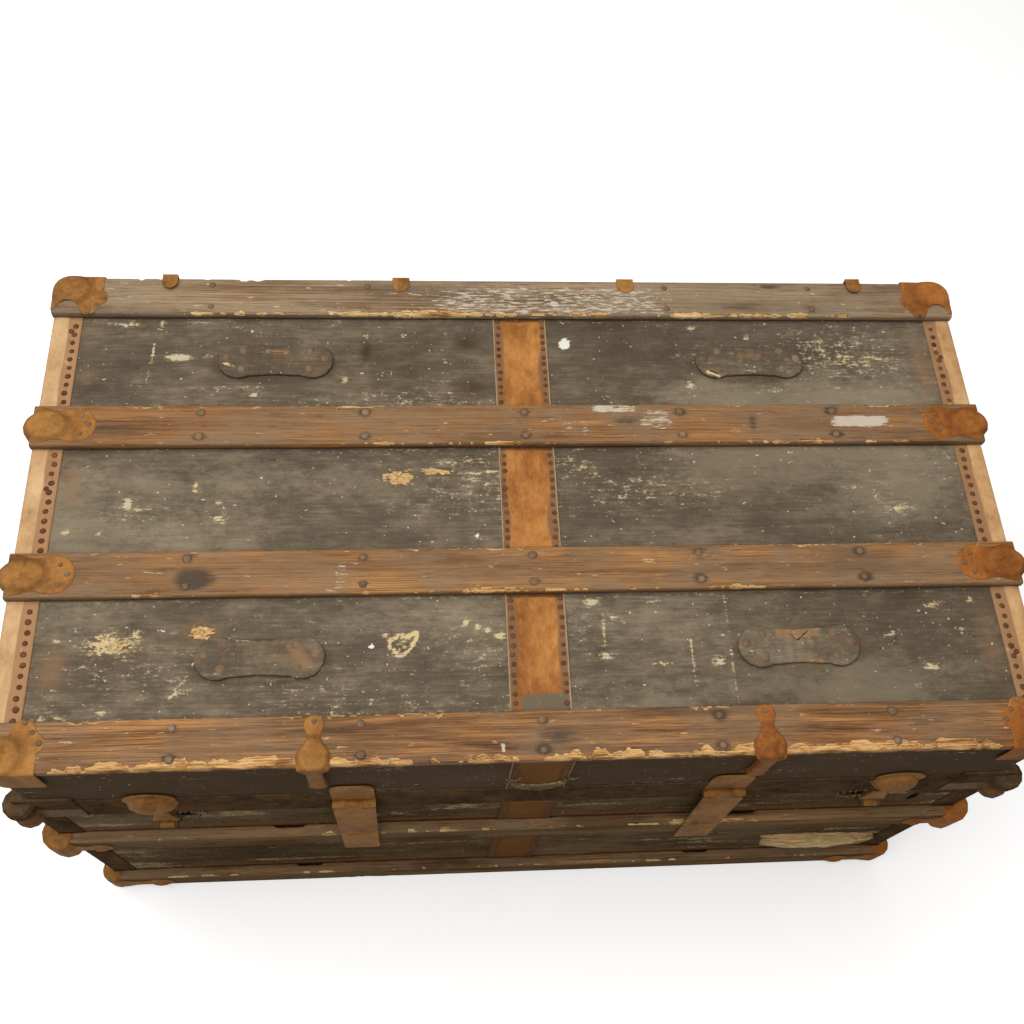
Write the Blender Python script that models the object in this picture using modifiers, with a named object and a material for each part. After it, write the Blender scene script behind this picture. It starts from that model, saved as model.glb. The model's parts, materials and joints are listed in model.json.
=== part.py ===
# A flat-topped steamer trunk: a wooden box and lid under painted canvas, bound with sheet iron,
# ribbed with wooden slats whose ends are held by pressed iron clamps. The lid turns on two
# strap hinges at the back. Two hasps hang at the front, and two drawbolts stand beside them.
# Metres, +Z up, front towards -Y, origin under the middle of the trunk.

import math

import bmesh
import bpy
from mathutils import Matrix

# Driving sizes of the box
LENGTH = 0.920
DEPTH = 0.499
SEAM_HEIGHT = 0.375
LID_TOP = 0.495
BOARD = 0.010
CANVAS = 0.001
SHEET = 0.001
GAP = 0.0003
OVERRUN = 0.004

# Slats
SLAT_WIDTH = 0.044
SLAT_THICKNESS = 0.0117
SLAT_EDGE_ROUND = 0.0022
SLAT_OVERHANG = 0.002
SECOND_ROW = 0.0781
THIRD_ROW = -0.0753
MID_SLAT_HEIGHT = 0.246
CORNER_REACH = 0.006

# Slots behind the front slats, where a luggage strap passes
STRAP_SLOT_WIDTH = 0.029
STRAP_SLOT_DEPTH = 0.003
STRAP_SLOT_LEFT = -0.235
STRAP_SLOT_RIGHT = 0.231

# Sheet iron round the seam and up the corners
LID_BAND = 0.026
BODY_BAND = 0.030
ANGLE_LEG = 0.024
RIM_PLATE_LENGTH = 0.050
RIM_PLATE_THICKNESS = 0.0012
LID_RIM_PLATE = 0.035
BODY_RIM_PLATE = 0.028
RIM_KNOB_RADIUS = 0.0145
RIM_KNOB_HEIGHT = 0.022
RIM_KNOB_ROUND = 0.006
SEAM_TO_KNOB = 0.004

# Strips of leather and fibre
LEATHER = 0.0015
LEATHER_TOP_WIDTH = 0.029
LEATHER_DROP = 0.024
LEATHER_ROUND = 0.0013
BAND_WIDTH = 0.054
BAND_CENTRE = 0.0035
BAND_THICKNESS = 0.001

# Pressed clamps round the body's corners
CLAMP_SHEET = 0.0014
CLAMP_WAIST = 0.0085
CLAMP_BOSS = 0.0035
CLAMP_BOSS_RIM = 0.003
MID_CLAMP_LEG = 0.049
MID_CLAMP_LOBE = 0.0125
MID_KNOB_RADIUS = 0.0187
BOTTOM_CLAMP_LEG = 0.066
BOTTOM_CLAMP_LOBE = 0.0160
BOTTOM_KNOB_RADIUS = 0.0150
KNOB_ROUND = 0.005

# Clamps over the ends of the two middle lid slats
END_CLAMP_LENGTH = 0.060
END_CLAMP_PADDLE = 0.0195
END_CLAMP_WAIST = 0.0165
END_CLAMP_BULB = 0.0208
END_KNOB_RADIUS = 0.0155
END_KNOB_REACH = 0.0095
END_KNOB_DROP = 0.016
PRESSED_ROUND = 0.003

# Caps over the corners of the lid
CAP_LENGTH = 0.0545
CAP_ARM = 0.047
CAP_LOBE = 0.0105
CAP_LOW_LOBE_IN = 0.0352
CAP_SIDE_LOBE_DOWN = 0.025
CAP_STRIP = 0.0055
CAP_CORNER_ROUND = 0.018
CAP_DROP = 0.030

# Pear-shaped clamps over the lid's front edge
PEAR_LEFT = -0.190
PEAR_RIGHT = 0.198
PEAR_TAB = 0.0098
PEAR_NECK = 0.0068
PEAR_BULB = 0.0160
PEAR_NOSE = 0.0085
PEAR_LENGTH = 0.045
PEAR_TO_HASP = 0.0117
PEAR_FRONT_THICKNESS = 0.004

# Fibre pads on the lid
PAD_LENGTH = 0.118
PAD_LOBE = 0.020
PAD_WAIST = 0.0155
PAD_THICKNESS = 0.0022
PAD_ROUND = 0.0008
PAD_LEFT = -0.230
PAD_RIGHT = 0.250
PAD_ROW = 0.150

# Hinges at the back
HINGE_LEFT = -0.349
HINGE_RIGHT = 0.360
HINGE_WIDTH = 0.036
HINGE_LEAF = 0.052
HINGE_SHEET = 0.0015
HINGE_BARREL = 0.0045
HINGE_PIN = 0.0018
HINGE_TAB = 0.0075
PIN_CLEARANCE = 0.0003
KNUCKLE_SHARE = 0.30

# Hasps at the front
HASP_LEFT = -0.163
HASP_RIGHT = 0.186
HASP_WIDTH = 0.040
HASP_LEAF_SHARE = 0.4333
HASP_LEAF_ROUND = 0.010
HASP_SHEET = 0.0015
HASP_BARREL = 0.004
HASP_PIN = 0.0016
HASP_STRAP = 0.161
HASP_STRAP_TIP = 0.036
HASP_TIP_ROUND = 0.004
HASP_SLOT_WIDTH = 0.021
HASP_SLOT_HEIGHT = 0.006
HASP_SLOT_UP = 0.057

# Drawbolts at the front
DRAWBOLT_TO_LEFT_END = 0.116
DRAWBOLT_TO_RIGHT_END = 0.110
CATCH_WIDTH = 0.047
CATCH_HEIGHT = 0.034
CATCH_REACH = 0.011
CATCH_LIFT = 0.012
CATCH_SHEET = 0.0015
HOOD_SHARE = 0.8
BOLT_BASE_WIDTH = 0.024
BOLT_BASE_HEIGHT = 0.064
BOLT_BASE_SHEET = 0.0012
BOLT_PIVOT_UP = 0.007
BOLT_BARREL = 0.0036
BOLT_PIN = 0.0014
BOLT_BARREL_WIDTH = 0.0134
BOLT_EAR = 0.003
BOLT_SHEET = 0.0018
BOLT_FAN_WIDTH = 0.026
BOLT_FAN_TOP = 0.014
BOLT_FAN_HEIGHT = 0.030
BOLT_STEM_WIDTH = 0.009
BOLT_TO_CATCH = 0.0025

# Leather handles on the ends
HANDLE_LENGTH = 0.200
HANDLE_WIDTH = 0.026
HANDLE_THICKNESS = 0.006
HANDLE_RISE = 0.016
HANDLE_FOOT = 0.040
HANDLE_CAP = 0.010
HANDLE_CAP_WIDTH = 0.034
HANDLE_ROUND = 0.0015

# Facets of round shapes
ROUND_STEPS = 12
BOSS_STEPS = 10
OVAL_STEPS = 20
ARC_STEPS = 5
WAIST_STEPS = 3
ROUND_PROFILE_SHARE = 0.5
SHARP_ANGLE = math.radians(35)
FLAT_ANGLE = math.radians(0.5)

# Planes that the pieces share
END_X = LENGTH / 2
SIDE_Y = DEPTH / 2
DRAWBOLT_LEFT = DRAWBOLT_TO_LEFT_END - END_X
DRAWBOLT_RIGHT = END_X - DRAWBOLT_TO_RIGHT_END
BOARD_X = END_X - CANVAS - GAP
BOARD_Y = SIDE_Y - CANVAS - GAP
SHEET_OUT = GAP + SHEET
OVER_SHEET = SHEET_OUT + GAP
SLAT_OUT = GAP + SLAT_THICKNESS
LID_SLAT_X = END_X + GAP + LEATHER
LID_SLAT_Y = SIDE_Y + SLAT_OVERHANG
LID_BOTTOM = SEAM_HEIGHT + GAP
LID_CORNER_ROUND = CAP_CORNER_ROUND - CLAMP_SHEET - LEATHER - GAP
SLAT_TOP = LID_TOP + SLAT_OUT
CLAMP_TOP = SLAT_TOP + GAP + CLAMP_SHEET
BOX_BOTTOM = 0.0
EDGE_ROW = LID_SLAT_Y - SLAT_WIDTH / 2

# Axes that the moving bodies turn on
HINGE_AXIS_Y = LID_SLAT_Y + GAP + GAP + HINGE_BARREL
HINGE_AXIS_Z = SEAM_HEIGHT + GAP / 2
HASP_AXIS_Y = -SIDE_Y - OVER_SHEET - GAP - HASP_BARREL
HASP_AXIS_Z = SEAM_HEIGHT + HASP_BARREL
HASP_LEAF_TOP = HASP_AXIS_Z + (LID_TOP - SEAM_HEIGHT) * HASP_LEAF_SHARE
HASP_LEAN = math.atan2(
    SIDE_Y + SLAT_OUT + GAP + GAP + HASP_AXIS_Y - HASP_BARREL + HASP_SHEET,
    HASP_AXIS_Z - MID_SLAT_HEIGHT - SLAT_WIDTH / 2,
)
BOLT_PLATE_Y = -SIDE_Y - SHEET_OUT - BOLT_BASE_SHEET
BOLT_AXIS_Y = BOLT_PLATE_Y - GAP - GAP - BOLT_BARREL
BOLT_AXIS_Z = SEAM_HEIGHT - BOLT_BASE_HEIGHT + BOLT_PIVOT_UP
CATCH_LOW = SEAM_HEIGHT + CATCH_LIFT

# Rows and corners
SLAT_ROWS = (
    ("rear", EDGE_ROW),
    ("second", SECOND_ROW),
    ("third", THIRD_ROW),
    ("front", -EDGE_ROW),
)
CORNERS = (
    ("front_left", -1, -1),
    ("front_right", 1, -1),
    ("back_left", -1, 1),
    ("back_right", 1, 1),
)
ENDS = (("left", -1), ("right", 1))

for startup_object in list(bpy.data.objects):
    bpy.data.objects.remove(startup_object, do_unlink=True)

parts = bpy.data.collections.new("steamer_trunk")
cutters = bpy.data.collections.new("trunk_cutters")
bpy.context.scene.collection.children.link(parts)
bpy.context.scene.collection.children.link(cutters)


# Materials

def make_material(name, colour, roughness, metallic):
    material = bpy.data.materials.new(name)
    material.use_nodes = True
    shader = material.node_tree.nodes["Principled BSDF"]
    shader.inputs["Base Color"].default_value = (*colour, 1.0)
    shader.inputs["Roughness"].default_value = roughness
    shader.inputs["Metallic"].default_value = metallic
    return material


FINISHES = {
    "bare_board": ((0.38, 0.24, 0.13), 0.75, 0.0),
    "canvas": ((0.13, 0.11, 0.085), 0.7, 0.0),
    "slat_wood": ((0.23, 0.11, 0.05), 0.6, 0.0),
    "rusty_iron": ((0.27, 0.12, 0.045), 0.65, 0.5),
    "leather": ((0.62, 0.38, 0.17), 0.7, 0.0),
    "band_fibre": ((0.42, 0.19, 0.06), 0.6, 0.0),
    "handle_leather": ((0.14, 0.06, 0.025), 0.6, 0.0),
}


# Shapes

def mesh_of(shape, name):
    mesh = bpy.data.meshes.new(name)
    shape.to_mesh(mesh)
    shape.free()
    return mesh


def helper(name, mesh):
    # A cutter, or a shape that is joined to a part
    obj = bpy.data.objects.new(name, mesh)
    cutters.objects.link(obj)
    obj.hide_render = True
    obj.display_type = "WIRE"
    return obj


def box(name, low, high):
    shape = bmesh.new()
    bmesh.ops.create_cube(shape, size=1)
    size = [top - bottom for bottom, top in zip(low, high)]
    middle = [(top + bottom) / 2 for bottom, top in zip(low, high)]
    bmesh.ops.scale(shape, vec=size, verts=shape.verts)
    bmesh.ops.translate(shape, vec=middle, verts=shape.verts)
    return helper(name, mesh_of(shape, name))


def bar(name, across, along, up):
    # A box from its three ranges
    return box(name, (across[0], along[0], up[0]), (across[1], along[1], up[1]))


def slab(name, outline, low, high, face="Z"):
    # A flat outline given its thickness along one axis
    curve = bpy.data.curves.new(name, "CURVE")
    curve.dimensions = "2D"
    curve.fill_mode = "BOTH"
    curve.extrude = (high - low) / 2
    spline = curve.splines.new("POLY")
    spline.points.add(len(outline) - 1)
    for point, (x, y) in zip(spline.points, outline):
        point.co = (x, y, 0, 1)
    spline.use_cyclic_u = True
    flat = bpy.data.objects.new(name, curve)
    cutters.objects.link(flat)
    bpy.context.view_layer.update()
    graph = bpy.context.evaluated_depsgraph_get()
    mesh = bpy.data.meshes.new_from_object(flat.evaluated_get(graph))
    bpy.data.objects.remove(flat, do_unlink=True)
    mesh.transform(Matrix.Translation((0, 0, (high + low) / 2)))
    if face == "Y":
        mesh.transform(Matrix(((1, 0, 0, 0), (0, 0, 1, 0), (0, 1, 0, 0), (0, 0, 0, 1))))
    if face == "X":
        mesh.transform(Matrix(((0, 0, 1, 0), (1, 0, 0, 0), (0, 1, 0, 0), (0, 0, 0, 1))))
    shape = bmesh.new()
    shape.from_mesh(mesh)
    bmesh.ops.remove_doubles(shape, verts=shape.verts, dist=GAP / 10)
    bmesh.ops.recalc_face_normals(shape, faces=shape.faces)
    bmesh.ops.dissolve_limit(shape, angle_limit=FLAT_ANGLE, verts=shape.verts, edges=shape.edges)
    shape.to_mesh(mesh)
    shape.free()
    return helper(name, mesh)


def rounded_corners(name, reach_x, reach_y, radius, low, high):
    # A block over the whole trunk with round corners in plan
    quarters = ((1, 1, 0), (-1, 1, 90), (-1, -1, 180), (1, -1, 270))
    outline = []
    for side_x, side_y, start in quarters:
        centre = (side_x * (reach_x - radius), side_y * (reach_y - radius))
        outline += arc(centre, radius, start, start + 90)
    return slab(name, outline, low, high)


def rod(name, radius, low, high, centre, axis="X", rounding=0.0, steps=ROUND_STEPS):
    # A round bar along X or Z, with its end edges rounded on request
    shape = bmesh.new()
    bmesh.ops.create_cone(
        shape, cap_ends=True, segments=steps, radius1=radius, radius2=radius, depth=high - low
    )
    if rounding:
        rims = [edge for edge in shape.edges if len({vert.co.z > 0 for vert in edge.verts}) == 1]
        bmesh.ops.bevel(
            shape, geom=rims, offset=rounding, segments=2, profile=ROUND_PROFILE_SHARE, affect="EDGES"
        )
    bmesh.ops.translate(shape, vec=(0, 0, (high + low) / 2), verts=shape.verts)
    if axis == "X":
        bmesh.ops.rotate(shape, matrix=Matrix.Rotation(math.pi / 2, 3, "Y"), verts=shape.verts)
        bmesh.ops.translate(shape, vec=(0, centre[0], centre[1]), verts=shape.verts)
    else:
        bmesh.ops.translate(shape, vec=(centre[0], centre[1], 0), verts=shape.verts)
    return helper(name, mesh_of(shape, name))


def dome(name, centre, radii, steps=ROUND_STEPS):
    shape = bmesh.new()
    bmesh.ops.create_uvsphere(shape, u_segments=steps, v_segments=steps // 2, radius=1)
    bmesh.ops.scale(shape, vec=radii, verts=shape.verts)
    bmesh.ops.translate(shape, vec=centre, verts=shape.verts)
    return helper(name, mesh_of(shape, name))


def arc(centre, radius, start, end, steps=ARC_STEPS):
    turns = [math.radians(start + (end - start) * step / steps) for step in range(steps + 1)]
    return [
        (centre[0] + radius * math.cos(turn), centre[1] + radius * math.sin(turn)) for turn in turns
    ]


def swell(start, end, steps=WAIST_STEPS):
    # Points of one edge that runs smoothly from one width to the next
    points = []
    for step in range(1, steps + 1):
        share = step / steps
        ease = share * share * (3 - 2 * share)
        along = start[0] + (end[0] - start[0]) * share
        points.append((along, start[1] + (end[1] - start[1]) * ease))
    return points


def both_edges(edge):
    # A closed outline from its upper edge, mirrored across the first axis
    return edge + [(along, -across) for along, across in reversed(edge)]


def mirrored(obj, side_x, side_y=1):
    obj.data.transform(Matrix.Diagonal((side_x, side_y, 1, 1)))
    if side_x * side_y < 0:
        obj.data.flip_normals()
    return obj


def moved(obj, vector):
    obj.data.transform(Matrix.Translation(vector))
    return obj


def soften(obj, width, segments=2):
    bevel = obj.modifiers.new("soft_edges", "BEVEL")
    bevel.width = width
    bevel.segments = segments
    bevel.limit_method = "ANGLE"
    bevel.angle_limit = SHARP_ANGLE
    return obj


def combine(obj, other, operation):
    modifier = obj.modifiers.new(operation.lower(), "BOOLEAN")
    modifier.operation = operation
    modifier.object = other
    modifier.solver = "EXACT"
    return obj


def cut(obj, *others):
    for other in others:
        combine(obj, other, "DIFFERENCE")
    return obj


def join(obj, *others):
    for other in others:
        combine(obj, other, "UNION")
    return obj


def finish(obj, name, kind, parent, rounded=True):
    # Turns a helper into a named part of its own
    cutters.objects.unlink(obj)
    parts.objects.link(obj)
    obj.name = name
    obj.data.name = name
    obj.hide_render = False
    obj.display_type = "TEXTURED"
    obj.data.materials.clear()
    obj.data.materials.append(make_material(f"{name}_{kind}", *FINISHES[kind]))
    if rounded:
        obj.data.shade_smooth()
        obj.data.set_sharp_from_angle(angle=SHARP_ANGLE)
    if parent:
        obj.parent = parent
        obj.matrix_parent_inverse = parent.matrix_world.inverted()
    return obj


def joint_empty(name, place, parent=None):
    # A moving body turns about its empty
    empty = bpy.data.objects.new(name, None)
    empty.location = place
    parts.objects.link(empty)
    bpy.context.view_layer.update()
    if parent:
        empty.parent = parent
        empty.matrix_parent_inverse = parent.matrix_world.inverted()
        bpy.context.view_layer.update()
    return empty


# Fibre pads, one solid with the canvas that they are riveted on

def pad_outline(middle, row):
    lobe_middle = PAD_LENGTH / 2 - PAD_LOBE
    lobe = arc((lobe_middle, 0), PAD_LOBE, 120, 0)
    edge = [(0, PAD_WAIST)]
    edge += swell(edge[-1], lobe[0], 3) + lobe[1:-1]
    half = edge + [(PAD_LENGTH / 2, 0)] + [(along, -across) for along, across in reversed(edge)]
    other = [(-along, -across) for along, across in half]
    outline = half + other[1:-1]
    return [(middle + along, row + across) for along, across in outline]


def pads():
    shapes = []
    for middle in (PAD_LEFT, PAD_RIGHT):
        for row in (PAD_ROW, -PAD_ROW):
            pad = slab("pad", pad_outline(middle, row), LID_TOP - CANVAS / 2, LID_TOP + PAD_THICKNESS)
            shapes.append(soften(pad, PAD_ROUND, 1))
    return shapes


# The box under the canvas

def build_carcass():
    inner_x = BOARD_X - BOARD
    inner_y = BOARD_Y - BOARD
    floor_top = BOX_BOTTOM + BOARD
    floor = bar("floor", (-BOARD_X, BOARD_X), (-BOARD_Y, BOARD_Y), (BOX_BOTTOM, floor_top))
    finish(floor, "bottom_board", "bare_board", None, False)
    walls = bar("walls", (-BOARD_X, BOARD_X), (-BOARD_Y, BOARD_Y), (floor_top + GAP, SEAM_HEIGHT))
    hollow = bar("body_hollow", (-inner_x, inner_x), (-inner_y, inner_y), (0, SEAM_HEIGHT + OVERRUN))
    finish(cut(walls, hollow), "body_frame", "bare_board", None, False)

    top_low = LID_TOP - CANVAS - GAP - BOARD
    top_high = LID_TOP - CANVAS - GAP
    radius = LID_CORNER_ROUND - CANVAS - GAP
    lid_board = rounded_corners("lid_board", BOARD_X, BOARD_Y, radius, top_low, top_high)
    finish(lid_board, "lid_top_board", "bare_board", lid, False)
    rim = rounded_corners("rim", BOARD_X, BOARD_Y, radius, LID_BOTTOM, top_low - GAP)
    lid_hollow = bar("lid_hollow", (-inner_x, inner_x), (-inner_y, inner_y), (0, LID_TOP))
    finish(cut(rim, lid_hollow), "lid_frame", "bare_board", lid, False)


def build_canvas():
    skin_x = END_X - CANVAS
    skin_y = SIDE_Y - CANVAS
    wrap = bar("wrap", (-END_X, END_X), (-SIDE_Y, SIDE_Y), (BOX_BOTTOM, SEAM_HEIGHT))
    inside = bar("wrap_inside", (-skin_x, skin_x), (-skin_y, skin_y), (0, SEAM_HEIGHT + OVERRUN))
    finish(cut(wrap, inside), "body_canvas", "canvas", None, False)
    hood = rounded_corners("hood", END_X, SIDE_Y, LID_CORNER_ROUND, LID_BOTTOM, LID_TOP)
    inner_round = LID_CORNER_ROUND - CANVAS
    under = rounded_corners("hood_inside", skin_x, skin_y, inner_round, 0, LID_TOP - CANVAS)
    join(cut(hood, under), *pads())
    finish(hood, "lid_canvas", "canvas", lid)


# Sheet iron round the seam, and the corner plates and knobs pressed over it

def rim_corner(side_x, side_y, low, high, knob_middle, under):
    # The back knobs are pressed flatter, so that they end at the hinge axis
    plate_x = END_X + under + RIM_PLATE_THICKNESS
    plate_y = SIDE_Y + under + RIM_PLATE_THICKNESS
    plate = bar(
        "rim_plate",
        (END_X - RIM_PLATE_LENGTH, plate_x),
        (SIDE_Y - RIM_PLATE_LENGTH, plate_y),
        (low, high),
    )
    knob = rod(
        "rim_knob",
        RIM_KNOB_RADIUS,
        knob_middle - RIM_KNOB_HEIGHT / 2,
        knob_middle + RIM_KNOB_HEIGHT / 2,
        (END_X, SIDE_Y),
        axis="Z",
        rounding=RIM_KNOB_ROUND,
    )
    if side_y > 0:
        flatter_share = (HINGE_AXIS_Y - SIDE_Y) / RIM_KNOB_RADIUS
        knob.data.transform(Matrix.Translation((0, -SIDE_Y, 0)))
        knob.data.transform(Matrix.Diagonal((1, flatter_share, 1, 1)))
        knob.data.transform(Matrix.Translation((0, SIDE_Y, 0)))
    return [mirrored(plate, side_x, side_y), mirrored(knob, side_x, side_y)]


def seam_ring(name, low, high):
    reach_x = END_X + SHEET_OUT
    reach_y = SIDE_Y + SHEET_OUT
    return bar(name, (-reach_x, reach_x), (-reach_y, reach_y), (low, high))


def build_lid_binding():
    ring = seam_ring("lid_ring", LID_BOTTOM, LID_BOTTOM + LID_BAND)
    knob_middle = LID_BOTTOM + SEAM_TO_KNOB + RIM_KNOB_HEIGHT / 2
    for _, side_x, side_y in CORNERS:
        plate_top = LID_BOTTOM + LID_RIM_PLATE
        join(ring, *rim_corner(side_x, side_y, LID_BOTTOM, plate_top, knob_middle, SHEET_OUT))
    inner_round = LID_CORNER_ROUND + GAP
    cut(ring, rounded_corners("lid_ring_inside", END_X + GAP, SIDE_Y + GAP, inner_round, 0, LID_TOP))
    finish(ring, "lid_binding", "rusty_iron", lid)


def build_body_binding():
    ring = seam_ring("body_ring", SEAM_HEIGHT - BODY_BAND, SEAM_HEIGHT)
    for _, side_x, side_y in CORNERS:
        angle = bar(
            "corner_angle",
            (END_X - ANGLE_LEG, END_X + SHEET_OUT),
            (SIDE_Y - ANGLE_LEG, SIDE_Y + SHEET_OUT),
            (BOX_BOTTOM, SEAM_HEIGHT - BODY_BAND / 2),
        )
        join(ring, mirrored(angle, side_x, side_y))
    for middle in (DRAWBOLT_LEFT, DRAWBOLT_RIGHT):
        join(ring, *bolt_base(middle))
    inner_x = END_X + GAP
    inner_y = SIDE_Y + GAP
    inside = bar("body_ring_inside", (-inner_x, inner_x), (-inner_y, inner_y), (-OVERRUN, LID_TOP))
    cut(ring, inside)
    finish(ring, "body_binding", "rusty_iron", None)


def build_rim_corners():
    low = SEAM_HEIGHT - BODY_RIM_PLATE
    knob_middle = SEAM_HEIGHT - SEAM_TO_KNOB - RIM_KNOB_HEIGHT / 2
    reach = (END_X + OVER_SHEET, SIDE_Y + OVER_SHEET)
    for name, side_x, side_y in CORNERS:
        plate, knob = rim_corner(side_x, side_y, low, SEAM_HEIGHT, knob_middle, OVER_SHEET)
        room = bar(
            "rim_room", (-reach[0], reach[0]), (-reach[1], reach[1]), (low - OVERRUN, SEAM_HEIGHT + OVERRUN)
        )
        cut(join(plate, knob), room)
        finish(plate, f"rim_corner_{name}", "rusty_iron", None)


# Slats of the body and the lid

def angle_room(side_x, side_y):
    room = bar(
        "angle_room",
        (END_X - ANGLE_LEG - GAP, END_X + OVER_SHEET),
        (SIDE_Y - ANGLE_LEG - GAP, SIDE_Y + OVER_SHEET),
        (0, SEAM_HEIGHT),
    )
    return mirrored(room, side_x, side_y)


def angle_notches(slat):
    return cut(slat, *[angle_room(side_x, side_y) for _, side_x, side_y in CORNERS])


def band_room(name, low, high):
    # The space of the centre band with its clearance
    left = BAND_CENTRE - BAND_WIDTH / 2 - GAP
    right = BAND_CENTRE + BAND_WIDTH / 2 + GAP
    reach = SIDE_Y + GAP + BAND_THICKNESS + GAP
    return bar(name, (left, right), (-reach, reach), (low, high))


def strap_slots(slat, up):
    for middle in (STRAP_SLOT_LEFT, STRAP_SLOT_RIGHT):
        slot = bar(
            "strap_slot",
            (middle - STRAP_SLOT_WIDTH / 2, middle + STRAP_SLOT_WIDTH / 2),
            (-SIDE_Y - GAP - STRAP_SLOT_DEPTH, 0),
            (up[0] - OVERRUN, up[1] + OVERRUN),
        )
        cut(slat, slot)
    return slat


def build_body_slats(prefix, middle):
    up = (middle - SLAT_WIDTH / 2, middle + SLAT_WIDTH / 2)
    reach_x = END_X + CORNER_REACH
    for name, side_y in (("front", -1), ("back", 1)):
        along = (SIDE_Y + GAP, SIDE_Y + SLAT_OUT)
        slat = mirrored(bar("slat", (-reach_x, reach_x), along, up), 1, side_y)
        angle_notches(soften(slat, SLAT_EDGE_ROUND))
        if side_y < 0:
            cut(slat, band_room("body_band_room", 0, SEAM_HEIGHT))
            strap_slots(slat, up)
        finish(slat, f"{prefix}_slat_{name}", "slat_wood", None)
    reach_y = SIDE_Y
    for name, side_x in ENDS:
        across = (END_X + GAP, END_X + SLAT_OUT)
        slat = mirrored(bar("slat", across, (-reach_y, reach_y), up), side_x)
        angle_notches(soften(slat, SLAT_EDGE_ROUND))
        finish(slat, f"{prefix}_slat_{name}", "slat_wood", None)


def build_lid_slats():
    for name, row in SLAT_ROWS:
        across = (-LID_SLAT_X, LID_SLAT_X)
        along = (row - SLAT_WIDTH / 2, row + SLAT_WIDTH / 2)
        slat = bar("lid_slat", across, along, (LID_TOP + GAP, SLAT_TOP))
        soften(slat, SLAT_EDGE_ROUND)
        if name in ("rear", "front"):
            limits = rounded_corners(
                "slat_limits", LID_SLAT_X, LID_SLAT_Y, CAP_CORNER_ROUND - CLAMP_SHEET, LID_TOP, CLAMP_TOP
            )
            combine(slat, limits, "INTERSECT")
        cut(slat, band_room("lid_band_room", 0, LID_TOP + GAP + BAND_THICKNESS + GAP))
        finish(slat, f"lid_slat_{name}", "slat_wood", lid)


# Clamps round the corners of the body slats

def leg_outline(length, lobe_radius, knob_radius, middle):
    # Seen square on: full height at the corner, drawn in to a waist, ending in a round lobe
    lobe = arc((length - lobe_radius, 0), lobe_radius, 135, 0)
    edge = [(0, SLAT_WIDTH / 2)]
    edge += swell(edge[-1], ((knob_radius + lobe[0][0]) / 2, CLAMP_WAIST))
    edge += swell(edge[-1], lobe[0], 2) + lobe[1:-1]
    outline = edge + [(length, 0)] + [(along, -across) for along, across in reversed(edge)]
    return [(-along, middle + across) for along, across in outline]


def build_corner_clamps(prefix, middle, leg, lobe_radius, knob_radius):
    low = middle - SLAT_WIDTH / 2
    high = middle + SLAT_WIDTH / 2
    knob_low = max(low - GAP - CLAMP_SHEET, 0)
    knob_high = high + GAP + CLAMP_SHEET
    over = SLAT_OUT + GAP
    boss = lobe_radius - CLAMP_BOSS_RIM
    boss_depth = CLAMP_SHEET + CLAMP_BOSS
    for name, side_x, side_y in CORNERS:
        outline = leg_outline(leg, lobe_radius, knob_radius, middle)
        front = [(END_X + along, up) for along, up in outline]
        side = [(SIDE_Y + along, up) for along, up in outline]
        knob = rod(
            "knob", knob_radius, knob_low, knob_high, (END_X, SIDE_Y), axis="Z", rounding=KNOB_ROUND
        )
        plate = slab("front_leg", front, SIDE_Y + over, SIDE_Y + over + CLAMP_SHEET, "Y")
        side_plate = slab("side_leg", side, END_X + over, END_X + over + CLAMP_SHEET, "X")
        front_boss = dome(
            "front_boss",
            (END_X - leg + lobe_radius, SIDE_Y + over, middle),
            (boss, boss_depth, boss),
            BOSS_STEPS,
        )
        side_boss = dome(
            "side_boss",
            (END_X + over, SIDE_Y - leg + lobe_radius, middle),
            (boss_depth, boss, boss),
            BOSS_STEPS,
        )
        box_room = bar(
            "box_room", (0, END_X + OVER_SHEET), (0, SIDE_Y + OVER_SHEET), (-OVERRUN, SEAM_HEIGHT)
        )
        front_room = bar(
            "front_slat_room",
            (0, END_X + CORNER_REACH + GAP),
            (SIDE_Y, SIDE_Y + over),
            (low - GAP, high + GAP),
        )
        side_room = bar(
            "side_slat_room",
            (END_X, END_X + over),
            (0, SIDE_Y + OVER_SHEET + GAP),
            (low - GAP, high + GAP),
        )
        added = (plate, side_plate, front_boss, side_boss)
        removed = (box_room, front_room, side_room)
        for piece in (knob, *added, *removed):
            mirrored(piece, side_x, side_y)
        cut(join(knob, *added), *removed)
        finish(knob, f"{prefix}_clamp_{name}", "rusty_iron", None)


# Clamps over the ends of the middle lid slats

def end_clamp_outline():
    # In plan, along the slat: round paddle, waist, bulb, then the knob past the end
    paddle = arc((END_CLAMP_PADDLE, 0), END_CLAMP_PADDLE, 180, 90)
    waist_at = (END_CLAMP_PADDLE + END_CLAMP_LENGTH - END_KNOB_REACH) / 2
    edge = paddle[1:]
    edge += swell(edge[-1], (waist_at, END_CLAMP_WAIST), 3)
    edge += swell(edge[-1], (END_CLAMP_LENGTH - PRESSED_ROUND, END_CLAMP_BULB), 4)
    edge.append((END_CLAMP_LENGTH, END_CLAMP_BULB - PRESSED_ROUND))
    outline = [paddle[0]] + both_edges(edge)
    return [(LID_SLAT_X - END_CLAMP_LENGTH + along, across) for along, across in outline]


def lid_room(name, low):
    # The space of the lid's outer slats and leather ends with its clearance
    radius = CAP_CORNER_ROUND - CLAMP_SHEET + GAP
    return rounded_corners(name, LID_SLAT_X + GAP, LID_SLAT_Y + GAP, radius, low, SLAT_TOP + GAP)


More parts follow.
